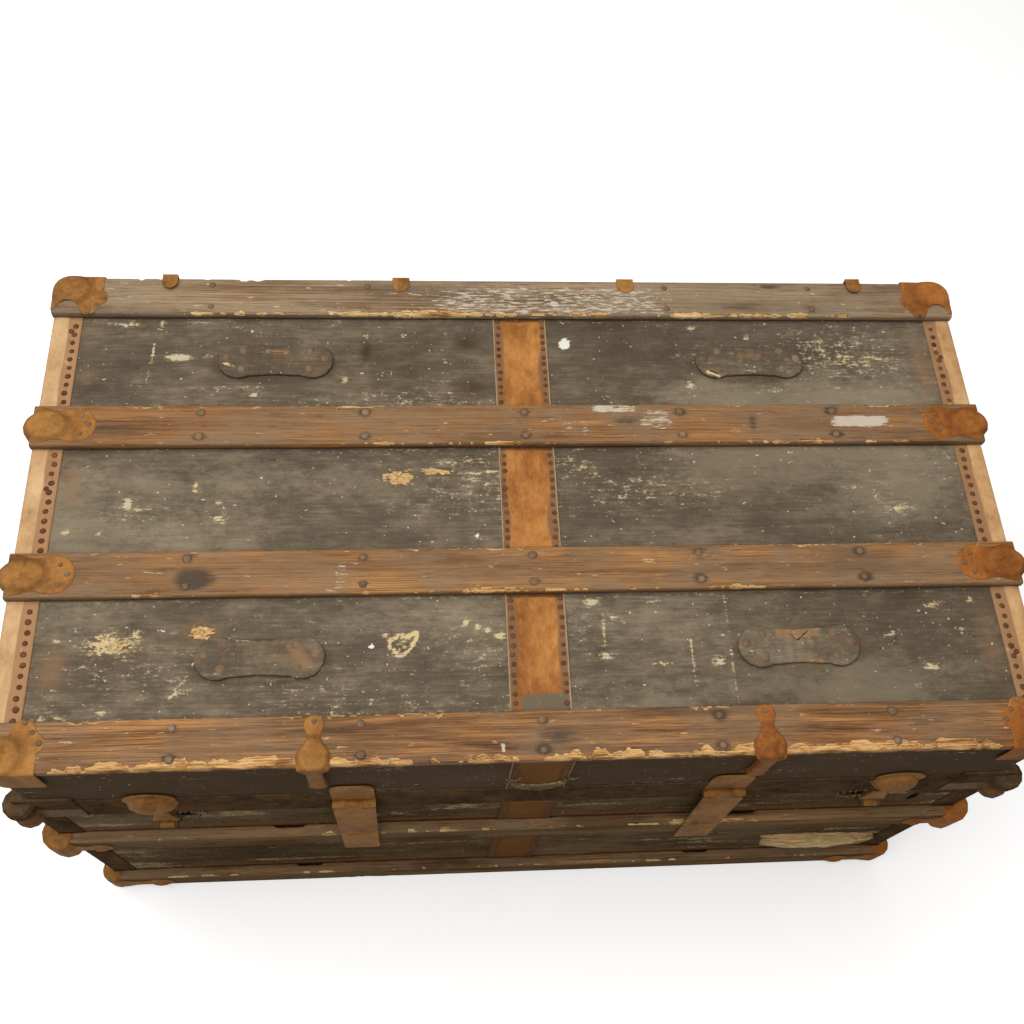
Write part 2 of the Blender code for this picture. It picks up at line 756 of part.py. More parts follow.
def build_end_clamps():
    for row_name, row in SLAT_ROWS[1:3]:
        for end_name, side_x in ENDS:
            low = LID_TOP - END_KNOB_DROP
            plate = slab("end_plate", end_clamp_outline(), SLAT_TOP - PRESSED_ROUND, CLAMP_TOP)
            soften(plate, PRESSED_ROUND / 2, 1)
            knob = rod(
                "end_knob",
                END_KNOB_RADIUS,
                low,
                CLAMP_TOP,
                (LID_SLAT_X + END_KNOB_REACH - END_KNOB_RADIUS, 0),
                axis="Z",
                rounding=KNOB_ROUND,
            )
            for piece in (plate, knob):
                mirrored(moved(piece, (0, row, 0)), side_x)
            join(plate, knob)
            cut(plate, lid_room("slat_room", SEAM_HEIGHT))
            finish(plate, f"slat_clamp_{row_name}_{end_name}", "rusty_iron", lid)


# Caps over the corners of the lid

def cap_outline():
    # In plan: a round outer corner, a strip down the end, a scallop, then a low and a side lobe
    radius = CAP_CORNER_ROUND + GAP
    out_x = LID_SLAT_X + GAP + CLAMP_SHEET
    out_y = LID_SLAT_Y + GAP + CLAMP_SHEET
    low = (LID_SLAT_X - CAP_LOW_LOBE_IN, LID_SLAT_Y - CAP_ARM + CAP_LOBE)
    side = (LID_SLAT_X - CAP_LENGTH + CAP_LOBE, LID_SLAT_Y - CAP_SIDE_LOBE_DOWN)
    low_lobe = arc(low, CAP_LOBE, -25, -160)
    side_lobe = arc(side, CAP_LOBE, 250, 120)
    strip_x = out_x - CAP_STRIP
    scallop_radius = (strip_x - low_lobe[0][0]) / 2
    scallop = arc((strip_x - scallop_radius, low_lobe[0][1]), scallop_radius, 0, 180)
    corner = arc((out_x - radius, out_y - radius), radius, 90, 0)
    outline = [(side_lobe[-1][0], out_y)] + corner + [(out_x, scallop[0][1])]
    return outline + scallop + low_lobe[1:] + side_lobe


def build_corner_caps():
    for name, side_x, side_y in CORNERS:
        cap = slab("cap", cap_outline(), LID_TOP - CAP_DROP, CLAMP_TOP)
        soften(cap, PRESSED_ROUND / 2, 1)
        mirrored(cap, side_x, side_y)
        cut(cap, lid_room("cap_room", SEAM_HEIGHT))
        finish(cap, f"corner_cap_{name}", "rusty_iron", lid)


# Pear-shaped clamps over the lid's front edge

def pear_top_outline(middle):
    # In plan, from the round tab at the back of the slat to the swollen front edge
    edge_y = -LID_SLAT_Y
    tab_y = edge_y + PEAR_LENGTH - PEAR_TAB
    tab = arc((0, 0), PEAR_TAB, 90, -35)
    tab = [(tab_y + across, along) for along, across in tab]
    edge = tab[1:]
    edge += swell(edge[-1], (tab_y - PEAR_TAB - PRESSED_ROUND / 2, PEAR_NECK), 2)
    edge += swell(edge[-1], (edge_y + PEAR_NOSE, PEAR_BULB), 4)
    edge.append((edge_y, PEAR_BULB - PRESSED_ROUND / 2))
    edge.append((edge_y - GAP - PEAR_FRONT_THICKNESS, PEAR_BULB - PRESSED_ROUND))
    outline = [(tab_y + PEAR_TAB, 0)] + both_edges(edge)
    return [(middle + across, along) for along, across in outline]


def pear_front_outline(middle):
    # Seen from the front, tapering from the bulb to a round nose
    low = HASP_LEAF_TOP + PEAR_TO_HASP
    nose = arc((0, 0), PEAR_NOSE, -90, 30)
    edge = [(along, low + PEAR_NOSE + across) for along, across in nose[1:]]
    edge += [(along, up) for up, along in swell(edge[-1][::-1], (SLAT_TOP - PEAR_BULB, PEAR_NECK), 2)]
    edge += [
        (along, up)
        for up, along in swell(edge[-1][::-1], (SLAT_TOP, PEAR_BULB - PRESSED_ROUND), 3)
    ]
    outline = [(0, low)] + edge + [(-along, up) for along, up in reversed(edge)]
    return [(middle + along, up) for along, up in outline]


def build_pear_clamps():
    for name, middle in (("left", PEAR_LEFT), ("right", PEAR_RIGHT)):
        top = slab("pear_top", pear_top_outline(middle), SLAT_TOP - PRESSED_ROUND, CLAMP_TOP)
        soften(top, PRESSED_ROUND / 2, 1)
        reach = (-LID_SLAT_Y - GAP - PEAR_FRONT_THICKNESS, -SIDE_Y - GAP)
        front = slab("pear_front", pear_front_outline(middle), *reach, "Y")
        join(top, front)
        cut(top, lid_room("pear_room", LID_TOP))
        finish(top, f"edge_clamp_{name}", "rusty_iron", lid)


# Leather on the lid's ends and fibre down its middle

def build_end_bindings():
    top = LID_TOP + GAP + LEATHER
    reach_y = SIDE_Y - LID_CORNER_ROUND
    for name, side_x in ENDS:
        strip = bar(
            "strip",
            (LID_SLAT_X - LEATHER_TOP_WIDTH, LID_SLAT_X),
            (-reach_y, reach_y),
            (LID_TOP - LEATHER_DROP, top),
        )
        soften(strip, LEATHER_ROUND)
        room = bar(
            "strip_room",
            (0, END_X + GAP),
            (-SIDE_Y - OVERRUN, SIDE_Y + OVERRUN),
            (0, LID_TOP + GAP),
        )
        cut(strip, room)
        for _, row in SLAT_ROWS:
            half = SLAT_WIDTH / 2 + GAP
            reach = (END_X - LEATHER_TOP_WIDTH - OVERRUN, LID_SLAT_X + OVERRUN)
            cut(strip, bar("slat_gap", reach, (row - half, row + half), (LID_TOP, CLAMP_TOP)))
        mirrored(strip, side_x)
        for modifier in strip.modifiers:
            if modifier.type == "BOOLEAN":
                mirrored(modifier.object, side_x)
        finish(strip, f"end_binding_{name}", "leather", lid)


def build_centre_bands():
    across = (BAND_CENTRE - BAND_WIDTH / 2, BAND_CENTRE + BAND_WIDTH / 2)
    outer = SIDE_Y + GAP + BAND_THICKNESS
    inner = SIDE_Y + GAP
    low = LID_BOTTOM + LID_BAND + GAP
    band = bar("band", across, (-outer, outer), (low, LID_TOP + GAP + BAND_THICKNESS))
    cut(band, bar("band_inside", (-END_X, END_X), (-inner, inner), (0, LID_TOP + GAP)))
    finish(band, "centre_band_lid", "band_fibre", lid, False)
    up = (BOX_BOTTOM, SEAM_HEIGHT - BODY_BAND - GAP)
    body = bar("body_band", across, (-outer, -inner), up)
    finish(body, "centre_band_body", "band_fibre", None, False)


# Hinges: barrels in three lengths on one pin

def knuckle_ranges(middle, width, share):
    # The outer barrels and, between them, the middle one with running gaps
    side = width * share
    outer = (
        (middle - width / 2, middle - width / 2 + side),
        (middle + width / 2 - side, middle + width / 2),
    )
    inner = (middle - width / 2 + side + GAP, middle + width / 2 - side - GAP)
    return outer, inner


def pinned_barrels(centre, radius, pin_radius, outer):
    # The two outer barrels and the pin that joins them
    rods = [rod("outer_barrel", radius, low, high, centre) for low, high in outer]
    pin = rod("pin", pin_radius, outer[0][0] + GAP, outer[1][1] - GAP, centre)
    return rods + [pin]


def pin_bore(centre, pin_radius, inner):
    reach = (inner[0] - OVERRUN, inner[1] + OVERRUN)
    return rod("pin_bore", pin_radius + PIN_CLEARANCE, *reach, centre)


def build_hinge(name, middle):
    centre = (HINGE_AXIS_Y, HINGE_AXIS_Z)
    outer, inner = knuckle_ranges(middle, HINGE_WIDTH, KNUCKLE_SHARE)
    leaf_y = SIDE_Y + OVER_SHEET
    clear = HINGE_BARREL + GAP
    leaf = bar(
        "hinge_leaf",
        (middle - HINGE_WIDTH / 2 + GAP, middle + HINGE_WIDTH / 2 - GAP),
        (leaf_y, leaf_y + HINGE_SHEET),
        (HINGE_AXIS_Z - HINGE_LEAF, HINGE_AXIS_Z),
    )
    room = bar(
        "hinge_leaf_room",
        (inner[0] - GAP, inner[1] + GAP),
        (0, leaf_y + HINGE_SHEET + OVERRUN),
        (HINGE_AXIS_Z - clear, HINGE_AXIS_Z + clear),
    )
    cut(leaf, room)
    join(leaf, *pinned_barrels(centre, HINGE_BARREL, HINGE_PIN, outer))
    finish(leaf, f"hinge_leaf_{name}", "rusty_iron", None)

    strap_y = LID_SLAT_Y + GAP
    half_root = (inner[1] - inner[0]) / 2 - GAP
    edge = [(HINGE_AXIS_Z, half_root), (HINGE_AXIS_Z + clear, half_root)]
    edge.append((HINGE_AXIS_Z + clear + HINGE_BARREL, HINGE_WIDTH / 2))
    edge += swell((HINGE_AXIS_Z + clear + HINGE_WIDTH / 2, HINGE_WIDTH / 2), (LID_TOP, HINGE_TAB), 4)
    edge.append((CLAMP_TOP, HINGE_TAB))
    outline = [(middle + along, up) for up, along in both_edges(edge)]
    strap = slab("hinge_strap", outline, strap_y, strap_y + HINGE_SHEET, "Y")
    tab = arc((middle, LID_SLAT_Y - HINGE_TAB), HINGE_TAB, 180, 360)
    tab += [(middle + HINGE_TAB, strap_y + HINGE_SHEET), (middle - HINGE_TAB, strap_y + HINGE_SHEET)]
    join(strap, slab("hinge_tab", tab, SLAT_TOP + GAP, CLAMP_TOP))
    join(strap, rod("middle_barrel", HINGE_BARREL, *inner, centre))
    cut(strap, pin_bore(centre, HINGE_PIN, inner))
    finish(strap, f"hinge_strap_{name}", "rusty_iron", lid)


# Hasps: a leaf on the lid and a strap that hangs over the slat

def build_hasp(name, middle):
    centre = (HASP_AXIS_Y, HASP_AXIS_Z)
    outer, inner = knuckle_ranges(middle, HASP_WIDTH, KNUCKLE_SHARE)
    leaf_y = -SIDE_Y - OVER_SHEET
    clear = HASP_BARREL + GAP
    top = HASP_LEAF_TOP
    half = HASP_WIDTH / 2 - GAP
    round_right = arc((middle + half - HASP_LEAF_ROUND, top - HASP_LEAF_ROUND), HASP_LEAF_ROUND, 0, 90)
    round_left = arc((middle - half + HASP_LEAF_ROUND, top - HASP_LEAF_ROUND), HASP_LEAF_ROUND, 90, 180)
    outline = [(middle + half, HASP_AXIS_Z)] + round_right + round_left + [(middle - half, HASP_AXIS_Z)]
    leaf = slab("hasp_leaf", outline, leaf_y - HASP_SHEET, leaf_y, "Y")
    room = bar(
        "hasp_leaf_room",
        (inner[0] - GAP, inner[1] + GAP),
        (leaf_y - HASP_SHEET - OVERRUN, 0),
        (HASP_AXIS_Z - clear, HASP_AXIS_Z + clear),
    )
    cut(leaf, room)
    join(leaf, *pinned_barrels(centre, HASP_BARREL, HASP_PIN, outer))
    finish(leaf, f"hasp_leaf_{name}", "rusty_iron", lid)

    # The strap is drawn hanging straight down from the pin, then leant out to clear the slat
    half_root = (inner[1] - inner[0]) / 2 - GAP
    half_tip = HASP_STRAP_TIP / 2
    tip = arc((half_tip - HASP_TIP_ROUND, HASP_TIP_ROUND - HASP_STRAP), HASP_TIP_ROUND, -90, 0)
    edge = tip + [(half, -clear - HASP_BARREL), (half_root, -clear), (half_root, 0)]
    outline = edge + [(-along, up) for along, up in reversed(edge)]
    strap = slab("hasp_strap", outline, -HASP_BARREL, -HASP_BARREL + HASP_SHEET, "Y")
    join(strap, rod("hasp_barrel", HASP_BARREL, inner[0] - middle, inner[1] - middle, (0, 0)))
    bore = pin_bore((0, 0), HASP_PIN, (inner[0] - middle, inner[1] - middle))
    slot_up = HASP_SLOT_UP - HASP_STRAP
    slot = bar(
        "staple_slot",
        (-HASP_SLOT_WIDTH / 2, HASP_SLOT_WIDTH / 2),
        (-HASP_BARREL - OVERRUN, HASP_SHEET + OVERRUN),
        (slot_up - HASP_SLOT_HEIGHT / 2, slot_up + HASP_SLOT_HEIGHT / 2),
    )
    cut(strap, bore, slot)
    lean = Matrix.Rotation(-HASP_LEAN, 4, "X")
    place = Matrix.Translation((middle, HASP_AXIS_Y, HASP_AXIS_Z)) @ lean
    strap.data.transform(place)
    for modifier in strap.modifiers:
        if modifier.type == "BOOLEAN":
            modifier.object.data.transform(place)
    hinge = joint_empty(f"hasp_{name}_pin", (middle, HASP_AXIS_Y, HASP_AXIS_Z), lid)
    finish(strap, f"hasp_strap_{name}", "rusty_iron", hinge)


# Drawbolts: a hooded catch on the lid and a lever on the body

def bolt_base(middle):
    # The lever's plate and its two ears, riveted to the body's binding
    half = BOLT_BASE_WIDTH / 2
    back = -SIDE_Y
    plate = bar(
        "bolt_plate",
        (middle - half, middle + half),
        (BOLT_PLATE_Y, back),
        (SEAM_HEIGHT - BOLT_BASE_HEIGHT, SEAM_HEIGHT - GAP),
    )
    pieces = [plate]
    reach = BOLT_BARREL_WIDTH / 2 + GAP
    for low, high in ((-reach - BOLT_EAR, -reach), (reach, reach + BOLT_EAR)):
        ear = rod("bolt_ear", BOLT_BARREL, middle + low, middle + high, (BOLT_AXIS_Y, BOLT_AXIS_Z))
        foot = bar(
            "ear_foot",
            (middle + low, middle + high),
            (BOLT_AXIS_Y, back),
            (BOLT_AXIS_Z - BOLT_BARREL, BOLT_AXIS_Z + BOLT_BARREL),
        )
        pieces += [ear, foot]
    pin = rod("bolt_pin", BOLT_PIN, middle - reach - GAP, middle + reach + GAP, (BOLT_AXIS_Y, BOLT_AXIS_Z))
    return pieces + [pin]


def build_bolt_lever(name, middle):
    centre = (BOLT_AXIS_Y, BOLT_AXIS_Z)
    half = BOLT_BARREL_WIDTH / 2
    plate_y = BOLT_PLATE_Y - GAP
    ear_top = BOLT_AXIS_Z + BOLT_BARREL + GAP
    fan_top = ear_top + BOLT_FAN_HEIGHT
    edge = [
        (half - GAP, BOLT_AXIS_Z),
        (half - GAP, ear_top),
        (BOLT_FAN_WIDTH / 2, ear_top + BOLT_BARREL),
        (BOLT_FAN_TOP / 2, fan_top),
        (BOLT_STEM_WIDTH / 2, fan_top),
        (BOLT_STEM_WIDTH / 2, CATCH_LOW - BOLT_TO_CATCH),
    ]
    outline = edge + [(-along, up) for along, up in reversed(edge)]
    outline = [(middle + along, up) for along, up in outline]
    lever = slab("bolt_lever", outline, plate_y - BOLT_SHEET, plate_y, "Y")
    join(lever, rod("bolt_barrel", BOLT_BARREL, middle - half, middle + half, centre))
    cut(lever, pin_bore(centre, BOLT_PIN, (middle - half, middle + half)))
    hinge = joint_empty(f"drawbolt_{name}_pin", (middle, *centre))
    finish(lever, f"drawbolt_lever_{name}", "rusty_iron", hinge)


def build_catch(name, middle):
    # A cast hood with a flat lip, on an oval plate
    back = -SIDE_Y - OVER_SHEET
    half = CATCH_WIDTH / 2
    centre = (middle, CATCH_LOW + CATCH_HEIGHT / 2)
    oval_share = CATCH_HEIGHT / CATCH_WIDTH
    circle = arc(centre, half, 0, 360, OVAL_STEPS)[:-1]
    oval = [(along, centre[1] + (up - centre[1]) * oval_share) for along, up in circle]
    plate = slab("catch_plate", oval, back - CATCH_SHEET, back, "Y")
    hood = dome("hood", (middle, back, CATCH_LOW), (half, CATCH_REACH, CATCH_HEIGHT * HOOD_SHARE))
    past = (middle - half - OVERRUN, middle + half + OVERRUN)
    outside = (back - CATCH_REACH - OVERRUN, 0)
    cut(hood, bar("below_hood", past, outside, (CATCH_LOW - CATCH_HEIGHT, CATCH_LOW)))
    cut(hood, bar("behind_hood", past, (back, 0), (SEAM_HEIGHT, LID_TOP)))
    join(hood, plate)
    finish(hood, f"drawbolt_catch_{name}", "rusty_iron", lid)


# Leather handles

def handle_outline():
    # In plan the strap lies flat at both feet and bows outwards between them
    half = HANDLE_LENGTH / 2
    bow_end = half - HANDLE_FOOT
    bow = swell((bow_end, 0), (0, HANDLE_RISE), 6)
    inside = [(bow_end, 0)] + bow
    outside = [(half, 0), (half, HANDLE_THICKNESS), (bow_end, HANDLE_THICKNESS)]
    outside += [(along, rise + HANDLE_THICKNESS) for along, rise in bow]
    outside += [(-along, rise) for along, rise in reversed(outside[:-1])]
    inside = [(-along, rise) for along, rise in inside] + inside[-2::-1]
    return [(END_X + GAP + rise, along) for along, rise in outside + inside]


def build_handles():
    inner = END_X + GAP
    half = HANDLE_LENGTH / 2
    middle = (MID_SLAT_HEIGHT + SLAT_WIDTH / 2 + SEAM_HEIGHT - BODY_BAND) / 2
    for name, side_x in ENDS:
        handle = slab("handle", handle_outline(), middle - HANDLE_WIDTH / 2, middle + HANDLE_WIDTH / 2)
        soften(handle, HANDLE_ROUND, 1)
        mirrored(handle, side_x)
        for side_y in (-1, 1):
            foot = bar(
                "foot",
                (inner, inner + HANDLE_CAP),
                (half - HANDLE_FOOT + HANDLE_ROUND, half + HANDLE_ROUND),
                (middle - HANDLE_CAP_WIDTH / 2, middle + HANDLE_CAP_WIDTH / 2),
            )
            soften(foot, HANDLE_ROUND, 1)
            join(handle, mirrored(foot, side_x, side_y))
        finish(handle, f"handle_{name}", "handle_leather", None)


lid = joint_empty("lid_hinge_axis", (0, HINGE_AXIS_Y, HINGE_AXIS_Z))
build_carcass()
build_canvas()
build_lid_binding()
build_body_binding()
build_rim_corners()
build_body_slats("mid", MID_SLAT_HEIGHT)
build_body_slats("bottom", SLAT_WIDTH / 2)
build_lid_slats()
build_corner_clamps("mid", MID_SLAT_HEIGHT, MID_CLAMP_LEG, MID_CLAMP_LOBE, MID_KNOB_RADIUS)
build_corner_clamps("bottom", SLAT_WIDTH / 2, BOTTOM_CLAMP_LEG, BOTTOM_CLAMP_LOBE, BOTTOM_KNOB_RADIUS)
build_end_clamps()
build_corner_caps()
build_pear_clamps()
build_end_bindings()
build_centre_bands()
for side_name, hinge_middle, hasp_middle, bolt_middle in (
    ("left", HINGE_LEFT, HASP_LEFT, DRAWBOLT_LEFT),
    ("right", HINGE_RIGHT, HASP_RIGHT, DRAWBOLT_RIGHT),
):
    build_hinge(side_name, hinge_middle)
    build_hasp(side_name, hasp_middle)
    build_bolt_lever(side_name, bolt_middle)
    build_catch(side_name, bolt_middle)
build_handles()
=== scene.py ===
import json
import math

import bmesh
import bpy
import numpy as np
from mathutils import Matrix, Vector


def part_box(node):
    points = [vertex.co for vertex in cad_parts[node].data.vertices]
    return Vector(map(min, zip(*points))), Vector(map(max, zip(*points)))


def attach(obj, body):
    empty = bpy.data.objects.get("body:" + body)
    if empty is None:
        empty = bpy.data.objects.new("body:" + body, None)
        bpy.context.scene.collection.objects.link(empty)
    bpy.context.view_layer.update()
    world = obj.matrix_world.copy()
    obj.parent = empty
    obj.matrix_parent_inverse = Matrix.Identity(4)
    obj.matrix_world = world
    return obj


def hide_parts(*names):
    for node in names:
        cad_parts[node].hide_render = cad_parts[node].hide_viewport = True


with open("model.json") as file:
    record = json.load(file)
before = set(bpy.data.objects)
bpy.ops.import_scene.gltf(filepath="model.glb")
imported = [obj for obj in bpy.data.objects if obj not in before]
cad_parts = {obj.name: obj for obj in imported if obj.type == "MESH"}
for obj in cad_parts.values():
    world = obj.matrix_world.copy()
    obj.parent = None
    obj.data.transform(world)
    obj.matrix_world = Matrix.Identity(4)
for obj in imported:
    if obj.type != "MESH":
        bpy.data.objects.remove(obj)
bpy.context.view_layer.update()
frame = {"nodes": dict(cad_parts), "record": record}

# planes of the trunk, as the solids have them
trunk = {
    "endX": 0.46,
    "sideY": 0.2495,
    "seam": 0.375,
    "lidTop": 0.495,
}
# where the middle of each slat lies across the lid
rows = {"rear": 0.2295, "second": 0.0781, "third": -0.0753, "front": -0.2295}


# camera, lights and floor

camera = {
    "place": (-0.0984, -0.4879, 1.4401),
    "yaw": 0.1773,
    "down": 1.0987,
    "roll": 0.1486,
    "lens": 39.63,
    "film": 36,
    "farthest": 50,
}
lamp = {
    "place": (-0.5, -0.1, 2.4),
    "aim": (0, 0, 0.3),
    "size": 2.6,
    "power": 60.0,
    "colour": (1, 0.985, 0.96),
}
floor = {"size": 6, "seen": 0.95, "lit": 0.3, "glow": 0.3, "rough": 0.9}
skyLight = 0.34


def makeCamera():
    yaw, down, roll = camera["yaw"], camera["down"], camera["roll"]
    ahead = Vector((math.sin(yaw) * math.cos(down), math.cos(yaw) * math.cos(down), -math.sin(down)))
    right = Vector((math.cos(yaw), -math.sin(yaw), 0))
    up = right.cross(ahead)
    turnedRight = right * math.cos(roll) + up * math.sin(roll)
    turnedUp = up * math.cos(roll) - right * math.sin(roll)
    data = bpy.data.cameras.new("camera")
    data.lens = camera["lens"]
    data.sensor_width = camera["film"]
    data.clip_end = camera["farthest"]
    cam = bpy.data.objects.new("camera", data)
    bpy.context.scene.collection.objects.link(cam)
    turn = Matrix((turnedRight, turnedUp, -ahead)).transposed().to_4x4()
    cam.matrix_world = Matrix.Translation(camera["place"]) @ turn
    bpy.context.scene.camera = cam


def makeStage():
    scene = bpy.context.scene
    scene.view_settings.view_transform = "Standard"
    scene.world = bpy.data.worlds.new("room")
    scene.world.use_nodes = True
    sky = scene.world.node_tree.nodes["Background"]
    sky.inputs["Color"].default_value = (1, 1, 1, 1)
    sky.inputs["Strength"].default_value = skyLight

    data = bpy.data.lights.new("topLamp", "AREA")
    data.energy = lamp["power"]
    data.size = lamp["size"]
    data.color = lamp["colour"]
    light = bpy.data.objects.new("topLamp", data)
    light.location = lamp["place"]
    away = Vector(lamp["place"]) - Vector(lamp["aim"])
    light.rotation_euler = away.to_track_quat("Z", "Y").to_euler()
    scene.collection.objects.link(light)

    # the camera sees a pale, softly glowing floor, while the light it throws back stays dim
    n = Nodes("paleFloor")
    rays = n.tree.nodes.new("ShaderNodeLightPath").outputs
    mirrored = n.math("MAXIMUM", rays["Is Glossy Ray"], rays["Is Transmission Ray"])
    seen = n.math("MAXIMUM", rays["Is Camera Ray"], mirrored)
    colour = n.mix(seen, (floor["lit"],) * 3, (floor["seen"],) * 3)
    glow = n.math("MULTIPLY", rays["Is Camera Ray"], floor["glow"])
    n.link(glow, n.shader.inputs["Emission Strength"])
    shape = bmesh.new()
    bmesh.ops.create_grid(shape, x_segments=1, y_segments=1, size=floor["size"])
    pieceFrom(shape, "floor", n.finish(colour, floor["rough"], specular=0.0))


# small makers

def pieceFrom(shape, name, finish, smooth=True):
    mesh = bpy.data.meshes.new(name)
    shape.to_mesh(mesh)
    shape.free()
    if smooth:
        mesh.shade_smooth()
    piece = bpy.data.objects.new(name, mesh)
    bpy.context.scene.collection.objects.link(piece)
    mesh.materials.append(finish)
    return piece


def place(piece, body, slot, *nodes):
    if nodes:
        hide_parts(*nodes)
    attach(piece, body)
    return piece


def pointsOf(piece):
    flat = np.empty(len(piece.data.vertices) * 3, np.float32)
    piece.data.vertices.foreach_get("co", flat)
    return flat.reshape(-1, 3).astype(float)


def setPoints(piece, points):
    piece.data.vertices.foreach_set("co", points.astype(np.float32).ravel())
    piece.data.update()


def paint(piece, name, values):
    # leaves a value at each point of the mesh, for the finish to read
    layers = piece.data.attributes
    layer = layers.get(name) or layers.new(name, "FLOAT", "POINT")
    layer.data.foreach_set("value", np.asarray(values, np.float32))


def sharpen(piece):
    piece.data.set_sharp_from_angle(angle=0.9)


def outward(shape):
    bmesh.ops.recalc_face_normals(shape, faces=shape.faces)


def grain(points, scale, seed=0.0):
    # smooth noise from -1 to 1, made from a hash of the lattice round each point
    spot = points * scale + np.array([7.31, 3.77, 5.13]) * seed
    cell = np.floor(spot).astype(np.int64)
    part = spot - cell
    ease = part * part * (3 - 2 * part)
    total = np.zeros(len(points))
    for corner in np.ndindex(2, 2, 2):
        at = cell + corner
        mixed = (at[:, 0] * 73856093) ^ (at[:, 1] * 19349663) ^ (at[:, 2] * 83492791)
        mixed = ((mixed ^ (mixed >> 13)) * 1274126177) & 0xFFFFFFFF
        share = np.prod(np.where(corner, ease, 1 - ease), axis=1)
        total += (((mixed >> 7) & 0xFFFF) / 32767.5 - 1) * share
    return total


def smoothStep(low, high, values):
    share = np.clip((values - low) / (high - low), 0, 1)
    return share * share * (3 - 2 * share)


def hump(values, middle, reach):
    return np.exp(-(((values - middle) / reach) ** 2))


def spotLevel(points, spots, axes=(0, 1)):
    # soft spots given as place, reach and strength, seen along the third axis
    level = np.zeros(len(points))
    for x, y, reachX, reachY, strength in spots:
        far = ((points[:, axes[0]] - x) / reachX) ** 2 + ((points[:, axes[1]] - y) / reachY) ** 2
        level = np.maximum(level, strength * np.exp(-far))
    return level


def smearLevel(points, spots):
    # broad strokes with a fairly even middle
    level = np.zeros(len(points))
    for x, y, reachX, reachY, strength in spots:
        far = (np.abs((points[:, 0] - x) / reachX) ** 4 + np.abs((points[:, 1] - y) / reachY) ** 4) ** 0.25
        level = np.maximum(level, strength * np.clip(2.4 - 1.7 * far, 0, 1))
    return level


def lineLevel(points, lines):
    # strokes from x, y to x, y, with half width and strength
    level = np.zeros(len(points))
    for x0, y0, x1, y1, width, strength in lines:
        start = np.array([x0, y0])
        run = np.array([x1 - x0, y1 - y0])
        share = np.clip(((points[:, :2] - start) @ run) / (run @ run), 0, 1)
        away = np.linalg.norm(points[:, :2] - start - share[:, None] * run, axis=1)
        level = np.maximum(level, strength * np.exp(-((away / width) ** 2)))
    return level


# finishes

